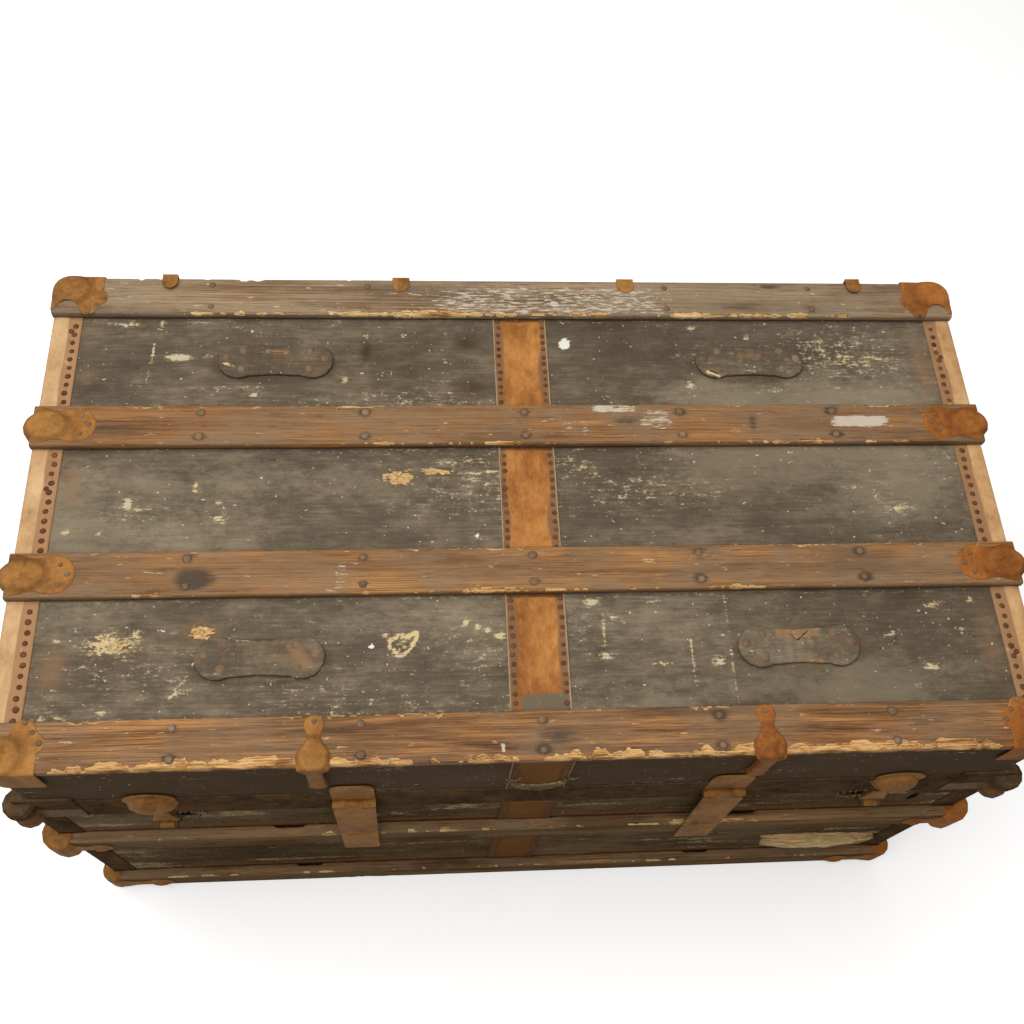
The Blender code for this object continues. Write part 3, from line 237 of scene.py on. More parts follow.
class Nodes:
    def __init__(self, name):
        self.mat = bpy.data.materials.new(name)
        self.mat.use_nodes = True
        self.tree = self.mat.node_tree
        self.shader = self.tree.nodes["Principled BSDF"]
        self.coords = self.tree.nodes.new("ShaderNodeTexCoord").outputs["Object"]

    def link(self, source, socket):
        if hasattr(source, "is_output"):
            self.tree.links.new(source, socket)
        elif hasattr(source, "__len__") and len(source) == 3:
            socket.default_value = (*source, 1)
        else:
            socket.default_value = source

    def pattern(self, kind, stretch, shift=(0, 0, 0)):
        mapping = self.tree.nodes.new("ShaderNodeMapping")
        mapping.inputs["Location"].default_value = shift
        mapping.inputs["Scale"].default_value = stretch
        self.tree.links.new(self.coords, mapping.inputs["Vector"])
        node = self.tree.nodes.new(kind)
        node.inputs["Scale"].default_value = 1.0
        self.tree.links.new(mapping.outputs[0], node.inputs["Vector"])
        return node

    def noise(self, stretch, detail=6.0, rough=0.6, shift=(0, 0, 0), twist=0.0):
        node = self.pattern("ShaderNodeTexNoise", stretch, shift)
        node.inputs["Detail"].default_value = detail
        node.inputs["Roughness"].default_value = rough
        node.inputs["Distortion"].default_value = twist
        return node.outputs["Fac"]

    def math(self, kind, a, b=0.0):
        node = self.tree.nodes.new("ShaderNodeMath")
        node.operation = kind
        self.link(a, node.inputs[0])
        self.link(b, node.inputs[1])
        return node.outputs[0]

    def total(self, *terms):
        # a sum of values, each taken whole or as a pair of value and share
        parts = [self.math("MULTIPLY", *term) if isinstance(term, tuple) else term for term in terms]
        result = parts[0]
        for part in parts[1:]:
            result = self.math("ADD", result, part)
        return result

    def swing(self, noise, share, middle=0.5):
        # a noise as a push up and down about its middle
        return self.math("MULTIPLY", self.math("SUBTRACT", noise, middle), share)

    def painted(self, name, *noises):
        # an attribute painted on the mesh, broken up by noises
        return self.total(self.attribute(name), *[self.swing(noise, share) for noise, share in noises])

    def step(self, value, low, high, top=1.0):
        node = self.tree.nodes.new("ShaderNodeMapRange")
        node.interpolation_type = "SMOOTHSTEP"
        self.link(value, node.inputs["Value"])
        self.link(low, node.inputs["From Min"])
        self.link(high, node.inputs["From Max"])
        node.inputs["To Max"].default_value = top
        return node.outputs[0]

    def ramp(self, value, *stops):
        node = self.tree.nodes.new("ShaderNodeValToRGB")
        self.link(value, node.inputs[0])
        stripe = node.color_ramp
        while len(stripe.elements) < len(stops):
            stripe.elements.new(0.5)
        for element, (at, colour) in zip(stripe.elements, stops):
            element.position = at
            element.color = (*colour, 1)
        return node.outputs["Color"]

    def mix(self, share, a, b):
        node = self.tree.nodes.new("ShaderNodeMix")
        node.data_type = "RGBA"
        self.link(share, node.inputs["Factor"])
        self.link(a, node.inputs["A"])
        self.link(b, node.inputs["B"])
        return node.outputs["Result"]

    def cover(self, below, above, value, low, high, top=1.0):
        # lays one colour over another where the value is high
        return self.mix(self.step(value, low, high, top), below, above)

    def attribute(self, name):
        node = self.tree.nodes.new("ShaderNodeAttribute")
        node.attribute_name = name
        return node.outputs["Fac"]

    def axis(self, letter):
        node = self.tree.nodes.new("ShaderNodeSeparateXYZ")
        self.tree.links.new(self.coords, node.inputs[0])
        return node.outputs[letter]

    def finish(self, colour, rough, bumps=(), metal=0.0, specular=0.3):
        self.link(colour, self.shader.inputs["Base Color"])
        self.link(rough, self.shader.inputs["Roughness"])
        self.shader.inputs["Metallic"].default_value = metal
        self.shader.inputs["Specular IOR Level"].default_value = specular
        last = None
        for height, strength, reach in bumps:
            bump = self.tree.nodes.new("ShaderNodeBump")
            bump.inputs["Strength"].default_value = strength
            bump.inputs["Distance"].default_value = reach
            self.link(height, bump.inputs["Height"])
            if last is not None:
                self.tree.links.new(last, bump.inputs["Normal"])
            last = bump.outputs[0]
        if last is not None:
            self.tree.links.new(last, self.shader.inputs["Normal"])
        return self.mat


def lie(along, long, across):
    # the stretch of a pattern whose threads or grain run along X, Y or Z
    return {"X": (long, across, across), "Y": (across, long, across), "Z": (across, across, long)}[along]


def dimmed(colour, share):
    return tuple(part * share for part in colour)


def woodFinish(name, along, look):
    n = Nodes(name)
    dark, shift, twist = look["dark"], look["shift"], look.get("twist", 0.0)
    broad = n.noise(lie(along, 2.5, 46.0), 5, 0.62, shift, twist)
    fine = n.noise(lie(along, 9.0, 380.0), 5, 0.68, shift, twist)
    veins = n.noise(lie(along, 7.0, 950.0), 3, 0.55, (1, 2, 3))
    pores = n.noise(lie(along, 45.0, 1500.0), 3, 0.5)
    blotch = n.noise((9, 16, 16), 6, 0.68, shift)
    tone = n.total((broad, 0.6), (fine, 0.4))
    colour = n.ramp(tone, (0.34, dark), (0.47, look["mid"]), (0.6, look["light"]))
    colour = n.cover(colour, dimmed(dark, 0.9), veins, 0.52, 0.62, 0.62)
    grime = n.total(blotch, (fine, 0.25))
    colour = n.cover(colour, look["grimeColour"], grime, 0.5, 0.72, look["grime"])
    smoke = n.noise(lie(along, 5, 22), 5, 0.65, (7, 7, 1))
    colour = n.cover(colour, look["stain"], smoke, 0.52, 0.68, look["smoke"])
    colour = n.cover(colour, dimmed(dark, 0.45), pores, 0.56, 0.68, 0.5)
    flecks = n.noise(lie(along, 60, 260), 4, 0.6, (3, 1, 2))
    colour = n.cover(colour, look["fleckColour"], flecks, 0.65, 0.71, look["flecks"])
    # nail rust and oil that has sunk in
    stain = n.painted("stain", (blotch, 1.6), (fine, 0.9))
    colour = n.cover(colour, look["stain"], stain, 0.34, 0.72, 0.88)
    # paint and plaster smears
    scratched = n.noise(lie(along, 70, 420), 5, 0.75, (6, 2, 8))
    smear = n.total(n.attribute("smear"), n.swing(scratched, 2.4, 0.55))
    colour = n.cover(colour, (0.55, 0.48, 0.38), smear, 0.42, 0.62, 0.85)
    # edges broken down to bare wood
    splinter = n.noise(lie(along, 30, 900), 6, 0.75)
    knots = n.noise(lie(along, 26, 60), 3, 0.5, (9, 9, 9))
    fibres = n.total((splinter, 0.7), (knots, 0.3))
    raw = n.ramp(fibres, (0.43, (0.19, 0.08, 0.026)), (0.49, look["bare"]), (0.57, look["barePale"]))
    chip = n.painted("chip", (splinter, 1.3), (knots, 0.9))
    bare = n.step(chip, 0.46, 0.56)
    rim = n.math("SUBTRACT", n.step(chip, 0.26, 0.46, 0.7), n.math("MULTIPLY", bare, 0.7))
    colour = n.mix(rim, colour, dimmed(dark, 0.6))
    colour = n.mix(bare, colour, raw)
    # painted shadow on the foot of each lid slat, and on some fibres of the broken board
    colour = n.mix(n.attribute("foot"), colour, dimmed(dark, 0.5))
    rough = n.step(n.total(fine, (bare, 0.6)), 0.2, 1.0)
    rough = n.total((rough, 0.4), look["rough"])
    bumps = [(fine, 0.55, 0.0008), (splinter, 0.4, 0.0009), (pores, 0.25, 0.0004)]
    return n.finish(colour, rough, bumps, specular=look["specular"])


def canvasFinish(name, look):
    n = Nodes(name)
    threads = n.noise((30, 430, 430), 5, 0.66)
    weft = n.noise((620, 60, 60), 2, 0.5)
    cloud = n.noise((7, 11, 11), 7, 0.72)
    mottle = n.noise((34, 70, 70), 7, 0.78, (3, 8, 5))
    dust = n.noise((92, 185, 185), 7, 0.76, (2, 4, 1))
    crumbs = n.noise((310, 430, 430), 4, 0.7, (6, 1, 3))
    tone = n.total((threads, 0.22), (cloud, 0.44), (mottle, 0.34))
    colour = n.ramp(tone, (0.36, look["dark"]), (0.5, look["mid"]), (0.62, look["light"]))
    rubbed = n.total(n.noise((3, 7, 7), 5, 0.6, (4, 9, 2)), (dust, 0.35))
    colour = n.cover(colour, look["rubbed"], rubbed, 0.66, 0.84, 0.5)
    colour = n.mix(n.attribute("shade"), colour, look["shade"])
    colour = n.cover(colour, look["warm"], n.attribute("warm"), 0.05, 0.9, 0.85)
    colour = n.cover(colour, look["light"], weft, 0.6, 0.72, 0.12)
    # paint rubbed off the threads, in crumbs and streaks
    crumbled = n.total(n.swing(dust, 2.4), n.swing(crumbs, 1.3), n.swing(threads, 0.9))
    # scuffs, together with the painted highlight along the pads' back edges
    wornAndLit = n.total(n.attribute("scuffAndHighlight"), crumbled)
    pale = n.ramp(n.noise((26, 26, 26), 3, 0.6), (0.38, look["paleWarm"]), (0.62, look["paleGrey"]))
    colour = n.cover(colour, look["rubbed"], wornAndLit, 0.36, 0.72, 0.45)
    colour = n.cover(colour, pale, wornAndLit, 0.58, 0.8, 0.9)
    # bare places with a sharp rim
    bare = n.total(n.attribute("bare"), (crumbled, 0.62))
    rim = n.math("SUBTRACT", n.step(bare, 0.22, 0.42, 0.5), n.step(bare, 0.42, 0.52, 0.5))
    colour = n.mix(rim, colour, look["shade"])
    inner = n.ramp(crumbs, (0.35, look["bareDark"]), (0.52, look["bare"]), (0.68, look["paleWarm"]))
    colour = n.cover(colour, inner, bare, 0.42, 0.54, 0.95)
    white = n.total(n.attribute("white"), (crumbled, 0.45))
    colour = n.cover(colour, (0.72, 0.69, 0.6), white, 0.42, 0.6, 0.95)
    specks = n.noise((250, 290, 290), 2, 0.4, (5, 3, 7))
    colour = n.cover(colour, (0.55, 0.49, 0.37), specks, 0.725, 0.765, 0.8)
    # holes and tears painted near-black: painted shade in the openings
    colour = n.cover(colour, (0.012, 0.009, 0.006), n.painted("hole", (dust, 0.7)), 0.4, 0.6)
    rough = n.total((dust, 0.3), look["rough"])
    bumps = [(threads, 0.4, 0.0005), (weft, 0.15, 0.0003), (cloud, 0.3, 0.003), (wornAndLit, 0.25, 0.0005)]
    return n.finish(colour, rough, bumps, specular=look["specular"])


def ironFinish(name, look):
    n = Nodes(name)
    cloud = n.noise((30, 30, 30), 6, 0.6, look["shift"])
    crust = n.noise((170, 170, 170), 6, 0.68, look["shift"])
    pits = n.noise((900, 900, 900), 3, 0.6)
    film = n.noise((55, 55, 55), 5, 0.7, (8, 2, 5))
    tone = n.total((cloud, 0.6), (crust, 0.4))
    stops = [(0.32, look["dark"]), (0.45, look["mid"]), (0.56, look["light"]), (0.68, look["bright"])]
    colour = n.ramp(tone, *stops)
    colour = n.cover(colour, dimmed(look["dark"], 0.5), pits, 0.58, 0.7, 0.5)
    # painted shade round the feet of the domes on the plates
    colour = n.cover(colour, look["dark"], n.attribute("foot"), 0.1, 1.0, 0.38)
    colour = n.cover(colour, look["filmColour"], film, 0.56, 0.72, look["film"])
    rough = n.total((crust, 0.3), look["rough"])
    bumps = [(crust, 0.35, 0.001), (pits, 0.3, 0.0003), (cloud, 0.3, 0.0025)]
    return n.finish(colour, rough, bumps, look["metal"], look["specular"])


def hideFinish(name, look):
    n = Nodes(name)
    cloud = n.noise((22, 14, 22), 5, 0.6, look["shift"])
    fine = n.noise((160, 90, 160), 5, 0.7)
    cracks = n.pattern("ShaderNodeTexVoronoi", (260, 260, 260)).outputs["Distance"]
    tone = n.total((cloud, 0.65), (fine, 0.35))
    colour = n.ramp(tone, (0.32, look["dark"]), (0.48, look["mid"]), (0.64, look["light"]))
    colour = n.cover(colour, look["edge"], n.painted("edge", (fine, 0.8)), 0.3, 0.75, look["edgeShare"])
    colour = n.cover(colour, look["stain"], n.painted("stain", (fine, 0.8)), 0.35, 0.65, 0.85)
    # paint that ran over from the canvas
    colour = n.cover(colour, (0.13, 0.108, 0.074), n.attribute("painted"), 0.35, 0.65, 0.9)
    # the pale line where the cut side shows
    colour = n.cover(colour, (0.36, 0.27, 0.16), n.painted("rim", (fine, 0.9)), 0.42, 0.7, 0.75)
    scratches = n.noise((240, 60, 240), 4, 0.6, (4, 4, 4))
    colour = n.cover(colour, look["light"], scratches, 0.64, 0.7, 0.4)
    rough = n.total((fine, 0.3), look["rough"])
    return n.finish(colour, rough, [(fine, 0.35, 0.0006), (cracks, 0.12, 0.0004)], specular=look["specular"])


boards = {
    "width": 0.118,
    "dark": (0.15, 0.085, 0.042),
    "mid": (0.33, 0.205, 0.11),
    "light": (0.48, 0.33, 0.19),
    "second": (0.2, 0.125, 0.066),
    "gap": (0.035, 0.022, 0.012),
    "dirt": (0.13, 0.082, 0.045),
    "pores": (0.09, 0.05, 0.025),
}


def boardFinish(name, along, stacked):
    n = Nodes(name)
    broad = n.noise(lie(along, 4, 45), 4, 0.6)
    fine = n.noise(lie(along, 18, 380), 5, 0.65)
    rings = n.noise(lie(along, 3, 130), 4, 0.6, (2, 5, 3))
    tone = n.total((broad, 0.4), (fine, 0.3), (rings, 0.3))
    colour = n.ramp(tone, (0.38, boards["dark"]), (0.5, boards["mid"]), (0.62, boards["light"]))
    # no two boards of one tone, with dark gaps between them
    count = n.math("DIVIDE", n.axis(stacked), boards["width"])
    chance = n.math("FRACT", n.math("MULTIPLY", n.math("FLOOR", count), 0.37))
    colour = n.mix(n.math("MULTIPLY", n.math("ABSOLUTE", chance), 0.35), colour, boards["second"])
    gap = n.step(n.math("ABSOLUTE", n.math("SUBTRACT", n.math("FRACT", count), 0.5)), 0.488, 0.495)
    colour = n.mix(gap, colour, boards["gap"])
    colour = n.cover(colour, boards["dirt"], n.noise((7, 7, 7), 5, 0.7), 0.5, 0.75, 0.5)
    pores = n.noise(lie(along, 50, 500), 4, 0.6, (4, 4, 1))
    colour = n.cover(colour, boards["pores"], pores, 0.6, 0.7, 0.5)
    rough = n.total((fine, 0.3), 0.6)
    bumps = [(fine, 0.5, 0.0008), (n.math("SUBTRACT", 1.0, gap), 0.6, 0.001)]
    return n.finish(colour, rough, bumps, specular=0.1)


looks = {
    "slat": {
        "dark": (0.075, 0.029, 0.01), "mid": (0.245, 0.112, 0.038), "light": (0.43, 0.205, 0.066),
        "grime": 0.75, "grimeColour": (0.215, 0.138, 0.078), "stain": (0.055, 0.04, 0.027), "smoke": 0.4,
        "bare": (0.5, 0.265, 0.095), "barePale": (0.7, 0.455, 0.205), "flecks": 0.7,
        "fleckColour": (0.56, 0.36, 0.17), "rough": 0.45, "specular": 0.14, "shift": (0, 0, 0),
    },
    "slatGrey": {
        "dark": (0.07, 0.038, 0.02), "mid": (0.21, 0.128, 0.07), "light": (0.37, 0.255, 0.15),
        "grime": 0.7, "grimeColour": (0.27, 0.2, 0.13), "stain": (0.075, 0.052, 0.034), "smoke": 0.4,
        "bare": (0.52, 0.31, 0.12), "barePale": (0.72, 0.52, 0.27), "flecks": 0.8,
        "fleckColour": (0.6, 0.45, 0.26), "rough": 0.55, "specular": 0.1, "shift": (5, 3, 1),
    },
    "slatDark": {
        "dark": (0.06, 0.028, 0.012), "mid": (0.175, 0.094, 0.042), "light": (0.36, 0.21, 0.1),
        "grime": 0.8, "grimeColour": (0.21, 0.14, 0.078), "stain": (0.068, 0.034, 0.016), "smoke": 0.6,
        "bare": (0.46, 0.28, 0.11), "barePale": (0.66, 0.46, 0.23), "flecks": 0.6,
        "fleckColour": (0.46, 0.3, 0.15), "rough": 0.6, "specular": 0.0, "shift": (2, 6, 4),
    },
    "splinter": {
        "dark": (0.26, 0.145, 0.06), "mid": (0.66, 0.44, 0.205), "light": (0.9, 0.68, 0.38),
        "grime": 0.4, "grimeColour": (0.3, 0.19, 0.09), "stain": (0.09, 0.05, 0.024), "smoke": 0.25,
        "bare": (0.5, 0.33, 0.15), "barePale": (0.7, 0.52, 0.28), "flecks": 0.5,
        "fleckColour": (0.72, 0.56, 0.34), "rough": 0.65, "specular": 0.0, "shift": (8, 1, 4),
    },
    "canvas": {
        "dark": (0.06, 0.046, 0.032), "mid": (0.112, 0.086, 0.059), "light": (0.215, 0.168, 0.115),
        "rubbed": (0.3, 0.245, 0.165), "shade": (0.058, 0.037, 0.019), "warm": (0.27, 0.15, 0.07),
        "paleWarm": (0.62, 0.46, 0.22), "paleGrey": (0.5, 0.43, 0.29),
        "bare": (0.52, 0.33, 0.14), "bareDark": (0.26, 0.14, 0.055), "rough": 0.65, "specular": 0.02,
    },
    "canvasDark": {
        "dark": (0.06, 0.036, 0.017), "mid": (0.135, 0.087, 0.044), "light": (0.24, 0.165, 0.092),
        "rubbed": (0.29, 0.21, 0.122), "shade": (0.044, 0.026, 0.012), "warm": (0.25, 0.088, 0.022),
        "paleWarm": (0.52, 0.37, 0.19), "paleGrey": (0.4, 0.31, 0.19),
        "bare": (0.46, 0.31, 0.14), "bareDark": (0.22, 0.12, 0.055), "rough": 0.7, "specular": 0.0,
    },
    "iron": {
        "dark": (0.105, 0.043, 0.012), "mid": (0.24, 0.105, 0.027), "light": (0.34, 0.158, 0.042),
        "bright": (0.43, 0.205, 0.058), "film": 0.5, "filmColour": (0.275, 0.16, 0.078),
        "rough": 0.5, "metal": 0.12, "specular": 0.08, "shift": (0, 0, 0),
    },
    "ironOrange": {
        "dark": (0.12, 0.038, 0.01), "mid": (0.24, 0.082, 0.018), "light": (0.345, 0.122, 0.026),
        "bright": (0.43, 0.17, 0.042), "film": 0.3, "filmColour": (0.25, 0.115, 0.046),
        "rough": 0.5, "metal": 0.12, "specular": 0.08, "shift": (3, 1, 0),
    },
    "ironBrown": {
        "dark": (0.045, 0.024, 0.011), "mid": (0.105, 0.055, 0.022), "light": (0.175, 0.082, 0.026),
        "bright": (0.29, 0.125, 0.032), "film": 0.45, "filmColour": (0.175, 0.09, 0.038),
        "rough": 0.55, "metal": 0.0, "specular": 0.15, "shift": (5, 2, 6),
    },
    "ironDark": {
        "dark": (0.038, 0.023, 0.012), "mid": (0.078, 0.048, 0.025), "light": (0.12, 0.074, 0.038),
        "bright": (0.2, 0.09, 0.028), "film": 0.6, "filmColour": (0.17, 0.066, 0.02),
        "rough": 0.65, "metal": 0.0, "specular": 0.0, "shift": (1, 6, 2),
    },
    "nail": {
        "dark": (0.075, 0.045, 0.025), "mid": (0.15, 0.092, 0.052), "light": (0.2, 0.128, 0.074),
        "bright": (0.29, 0.2, 0.12), "film": 0.5, "filmColour": (0.165, 0.08, 0.034),
        "rough": 0.5, "metal": 0.0, "specular": 0.18, "shift": (4, 4, 4),
    },
    "tack": {
        "dark": (0.04, 0.017, 0.008), "mid": (0.095, 0.04, 0.017), "light": (0.15, 0.066, 0.028),
        "bright": (0.22, 0.1, 0.042), "film": 0.4, "filmColour": (0.12, 0.06, 0.03),
        "rough": 0.55, "metal": 0.0, "specular": 0.12, "shift": (7, 4, 2),
    },
    "hide": {
        "dark": (0.27, 0.145, 0.064), "mid": (0.47, 0.285, 0.135), "light": (0.62, 0.415, 0.22),
        "edge": (0.3, 0.15, 0.072), "edgeShare": 0.8, "stain": (0.17, 0.085, 0.04),
        "rough": 0.5, "specular": 0.1, "shift": (0, 0, 0),
    },
    "hideWorn": {
        "dark": (0.24, 0.12, 0.05), "mid": (0.46, 0.255, 0.11), "light": (0.62, 0.39, 0.19),
        "edge": (0.25, 0.125, 0.06), "edgeShare": 0.8, "stain": (0.12, 0.058, 0.028),
        "rough": 0.5, "specular": 0.14, "shift": (2, 5, 1),
    },
    "band": {
        "dark": (0.12, 0.042, 0.012), "mid": (0.305, 0.118, 0.03), "light": (0.5, 0.225, 0.062),
        "edge": (0.18, 0.096, 0.05), "edgeShare": 0.85, "stain": (0.06, 0.03, 0.015),
        "rough": 0.5, "specular": 0.07, "shift": (3, 3, 3),
    },
    # a brighter, more orange copy of the fibre colour for the band's front faces, which stand in shade:
    # painted light
    "bandFront": {
        "dark": (0.34, 0.088, 0.012), "mid": (0.62, 0.175, 0.024), "light": (0.78, 0.3, 0.055),
        "edge": (0.14, 0.07, 0.03), "edgeShare": 0.8, "stain": (0.13, 0.074, 0.034),
        "rough": 0.6, "specular": 0.0, "shift": (1, 7, 2),
    },
    "handle": {
        "dark": (0.055, 0.022, 0.01), "mid": (0.135, 0.06, 0.026), "light": (0.24, 0.12, 0.055),
        "edge": (0.3, 0.18, 0.1), "edgeShare": 0.6, "stain": (0.03, 0.02, 0.012),
        "rough": 0.4, "specular": 0.25, "shift": (6, 1, 3),
    },
}

# the front slat is browner, and its grain is wavy
looks["slatFront"] = {
    **looks["slat"],
    "dark": (0.056, 0.022, 0.008), "mid": (0.19, 0.084, 0.029), "light": (0.43, 0.203, 0.068),
    "bare": (0.47, 0.24, 0.084), "barePale": (0.68, 0.42, 0.176),
    "grime": 0.6, "twist": 2.0, "shift": (4, 9, 2),
}

finishes = {
    "slatX": woodFinish("slatX", "X", looks["slat"]),
    "slatFront": woodFinish("slatFront", "X", looks["slatFront"]),
    "slatGrey": woodFinish("slatGrey", "X", looks["slatGrey"]),
    "slatDarkX": woodFinish("slatDarkX", "X", looks["slatDark"]),
    "slatDarkY": woodFinish("slatDarkY", "Y", looks["slatDark"]),
    "canvas": canvasFinish("paintedCanvas", looks["canvas"]),
    "canvasDark": canvasFinish("darkCanvas", looks["canvasDark"]),
    "iron": ironFinish("rustyIron", looks["iron"]),
    "ironOrange": ironFinish("orangeRust", looks["ironOrange"]),
    "ironDark": ironFinish("paintedIron", looks["ironDark"]),
    "ironBrown": ironFinish("brownIron", looks["ironBrown"]),
    "nail": ironFinish("nailIron", looks["nail"]),
    "tack": ironFinish("tackIron", looks["tack"]),
    "hide": hideFinish("tanLeather", looks["hide"]),
    "hideWorn": hideFinish("wornLeather", looks["hideWorn"]),
    "band": hideFinish("orangeFibre", looks["band"]),
    "bandFront": hideFinish("frontFibrePaintedLight", looks["bandFront"]),
    "handle": hideFinish("handleLeather", looks["handle"]),
    "splinter": woodFinish("splinteredWood", "X", looks["splinter"]),
    "wallBoard": boardFinish("wallBoards", "X", "Z"),
    "endBoard": boardFinish("endBoards", "Y", "Z"),
    "flatBoard": boardFinish("flatBoards", "X", "Y"),
}
print("finishes", len(finishes))


# wooden slats with broken edges

slatBuild = {
    "lidCell": 0.0019,
    "bodyCell": 0.0036,
    "round": 0.0025,
    "lidTop": 0.505,
    # how the broken places come and go along a slat: strength, scale and step of the seed
    "waves": ((0.95, 7, 0), (0.55, 26, 5), (0.55, 95, 9), (0.4, 260, 13)),
    "wholeFrom": 0.385,
    "wholeTo": 0.41,
    # where the painted shadow down a lid slat's sides begins and where it is full
    "footHigh": 0.0035,
    "footLow": 0.0085,
}


def loopOf(wide, tall, corner, cell):
    # a flat rounded rectangle about the origin, its long sides cut into cells
    shape = bmesh.new()
    bmesh.ops.create_grid(shape, x_segments=1, y_segments=1, size=0.5)
    bmesh.ops.scale(shape, vec=(wide, tall, 1), verts=shape.verts)
    bmesh.ops.bevel(
        shape, geom=list(shape.verts), offset=corner, segments=3, affect="VERTICES", profile=0.5, material=-1
    )
    for edge in [e for e in shape.edges if e.calc_length() > corner + cell]:
        bmesh.ops.subdivide_edges(shape, edges=[edge], cuts=max(1, round(edge.calc_length() / cell) - 1))
    return shape


def drawOut(shape, way, steps):
    # draws a face or a loop out along one way, then cuts the new sides into steps
    everything = list(shape.verts) + list(shape.edges) + list(shape.faces)
    bmesh.ops.spin(
        shape, geom=everything, cent=(0, 0, 0), axis=(0, 0, 1), dvec=Vector(way), angle=0, steps=1,
        use_duplicate=False,
    )
    length = Vector(way).length
    ahead = Vector(way) / length
    runs = {edge: abs((edge.verts[1].co - edge.verts[0].co).dot(ahead)) for edge in shape.edges}
    sides = [edge for edge, run in runs.items() if abs(run - length) < 1e-5]
    if steps > 1:
        bmesh.ops.subdivide_edges(shape, edges=sides, cuts=steps - 1, use_grid_fill=True)
    outward(shape)


def slatBar(low, high, along, cell):
    # a rounded section, X across and Y up, drawn out along Z and then laid down
    size = high - low
    length, wide, tall = (size.x, size.y, size.z) if along == "X" else (size.y, size.x, size.z)
    shape = loopOf(wide, tall, slatBuild["round"], cell)
    drawOut(shape, (0, 0, length), round(length / cell))
    if along == "X":
        turn = Matrix(((0, 0, 1, 0), (1, 0, 0, 0), (0, 1, 0, 0), (0, 0, 0, 1)))
    else:
        turn = Matrix(((1, 0, 0, 0), (0, 0, 1, 0), (0, 1, 0, 0), (0, 0, 0, 1)))
    bmesh.ops.transform(shape, matrix=turn, verts=shape.verts)
    centre = (low + high) / 2
    start = (low.x, centre.y, centre.z) if along == "X" else (centre.x, low.y, centre.z)
    bmesh.ops.translate(shape, vec=start, verts=shape.verts)
    outward(shape)
    return shape


def breakEdges(piece, low, high, along, seed, edges, reach):
    # each edge is (side across, side up, how often it is broken, how far in)
    points = pointsOf(piece)
    axis = 1 if along == "X" else 0
    run, across, up = points[:, 1 - axis], points[:, axis], points[:, 2]
    centre = (low + high) / 2
    half = (high - low) / 2
    whole = smoothStep(slatBuild["wholeFrom"], slatBuild["wholeTo"], np.abs(run))
    chip = np.zeros(len(points))
    for number, (side, top, often, depth) in enumerate(edges):
        line = np.stack([run, np.full_like(run, seed + number * 3.1), np.zeros_like(run)], axis=1)
        wave = np.zeros(len(points))
        for strength, scale, step in slatBuild["waves"]:
            wave += strength * grain(line, (scale, 1, 1), seed + number + step)
        bite = np.clip(wave + often, 0, 1.25) * (1 - whole)
        outAcross = half[axis] - side * (across - centre[axis])
        outUp = half.z - top * (up - centre.z)
        away = np.sqrt(outAcross ** 2 + (outUp * 0.8) ** 2)
        width = np.maximum(depth * bite, 1e-5)
        share = np.clip(1.25 - away / width, 0, 1)
        rough = 0.55 + 0.6 * grain(points, (60, 260, 260), seed + 2)
        sink = share * np.minimum(width, reach) * 0.5 * rough
        points[:, axis] -= side * sink
        points[:, 2] -= top * sink
        chip = np.maximum(chip, smoothStep(0.0, 0.5, share) * np.clip(bite * 6, 0, 1))
    setPoints(piece, points)
    return chip


def makeSlat(name, finish, along, seed, edges, reach=0.004, stains=(), smears=(), carve=None):
    body = "lid" if name.startswith("lid") else "body"
    low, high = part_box(name)
    if body == "lid":
        high.z = slatBuild["lidTop"]
    shape = slatBar(low, high, along, slatBuild[f"{body}Cell"])
    piece = pieceFrom(shape, name + "_wood", finishes[finish])
    chip = breakEdges(piece, low, high, along, seed, edges, reach)
    points = pointsOf(piece)
    if carve is not None:
        points = carve(points)
        setPoints(piece, points)
    paint(piece, "chip", chip)
    if body == "lid":
        # painted shadow down the sides of each lid slat, below its top
        foot = smoothStep(high.z - slatBuild["footHigh"], high.z - slatBuild["footLow"], points[:, 2])
        paint(piece, "foot", 0.8 * foot)
    paint(piece, "stain", spotLevel(points, stains))
    paint(piece, "smear", smearLevel(points, smears))
    place(piece, body, "slat_wood", name)


nailRows = (-0.307, -0.151, 0.003, 0.157, 0.311)
nailApart = 0.0132


def nailPairs(row):
    return [(x, rows[row] + side * nailApart) for x in nailRows for side in (-1, 1)]


def nailStains(row, strength):
    return [(x, y, 0.0095, 0.007, strength) for x, y in nailPairs(row)]


def roundCorners(points, limitX=0.4616, limitY=0.2513, radius=0.0166):
    # the outer slats and the canvas follow the round corners of the lid
    out = points.copy()
    dx = np.abs(points[:, 0]) - (limitX - radius)
    dy = np.abs(points[:, 1]) - (limitY - radius)
    far = np.sqrt(np.maximum(dx, 0) ** 2 + np.maximum(dy, 0) ** 2)
    over = (dx > 0) & (dy > 0) & (far > radius)
    pull = radius / np.maximum(far, 1e-9)
    out[over, 0] = np.sign(points[over, 0]) * (limitX - radius + dx[over] * pull[over])
    out[over, 1] = np.sign(points[over, 1]) * (limitY - radius + dy[over] * pull[over])
    return out


# what lies behind the body slats: corner angles, centre band and the slots for straps
slatRooms = {
    "angleX": 0.4357,
    "angleY": 0.2252,
    "clearX": 0.4618,
    "clearY": 0.2513,
    "band": (-0.0238, 0.0308),
    "slots": (-0.235, 0.231),
    "slotHalf": 0.0145,
    "slotY": 0.2528,
}


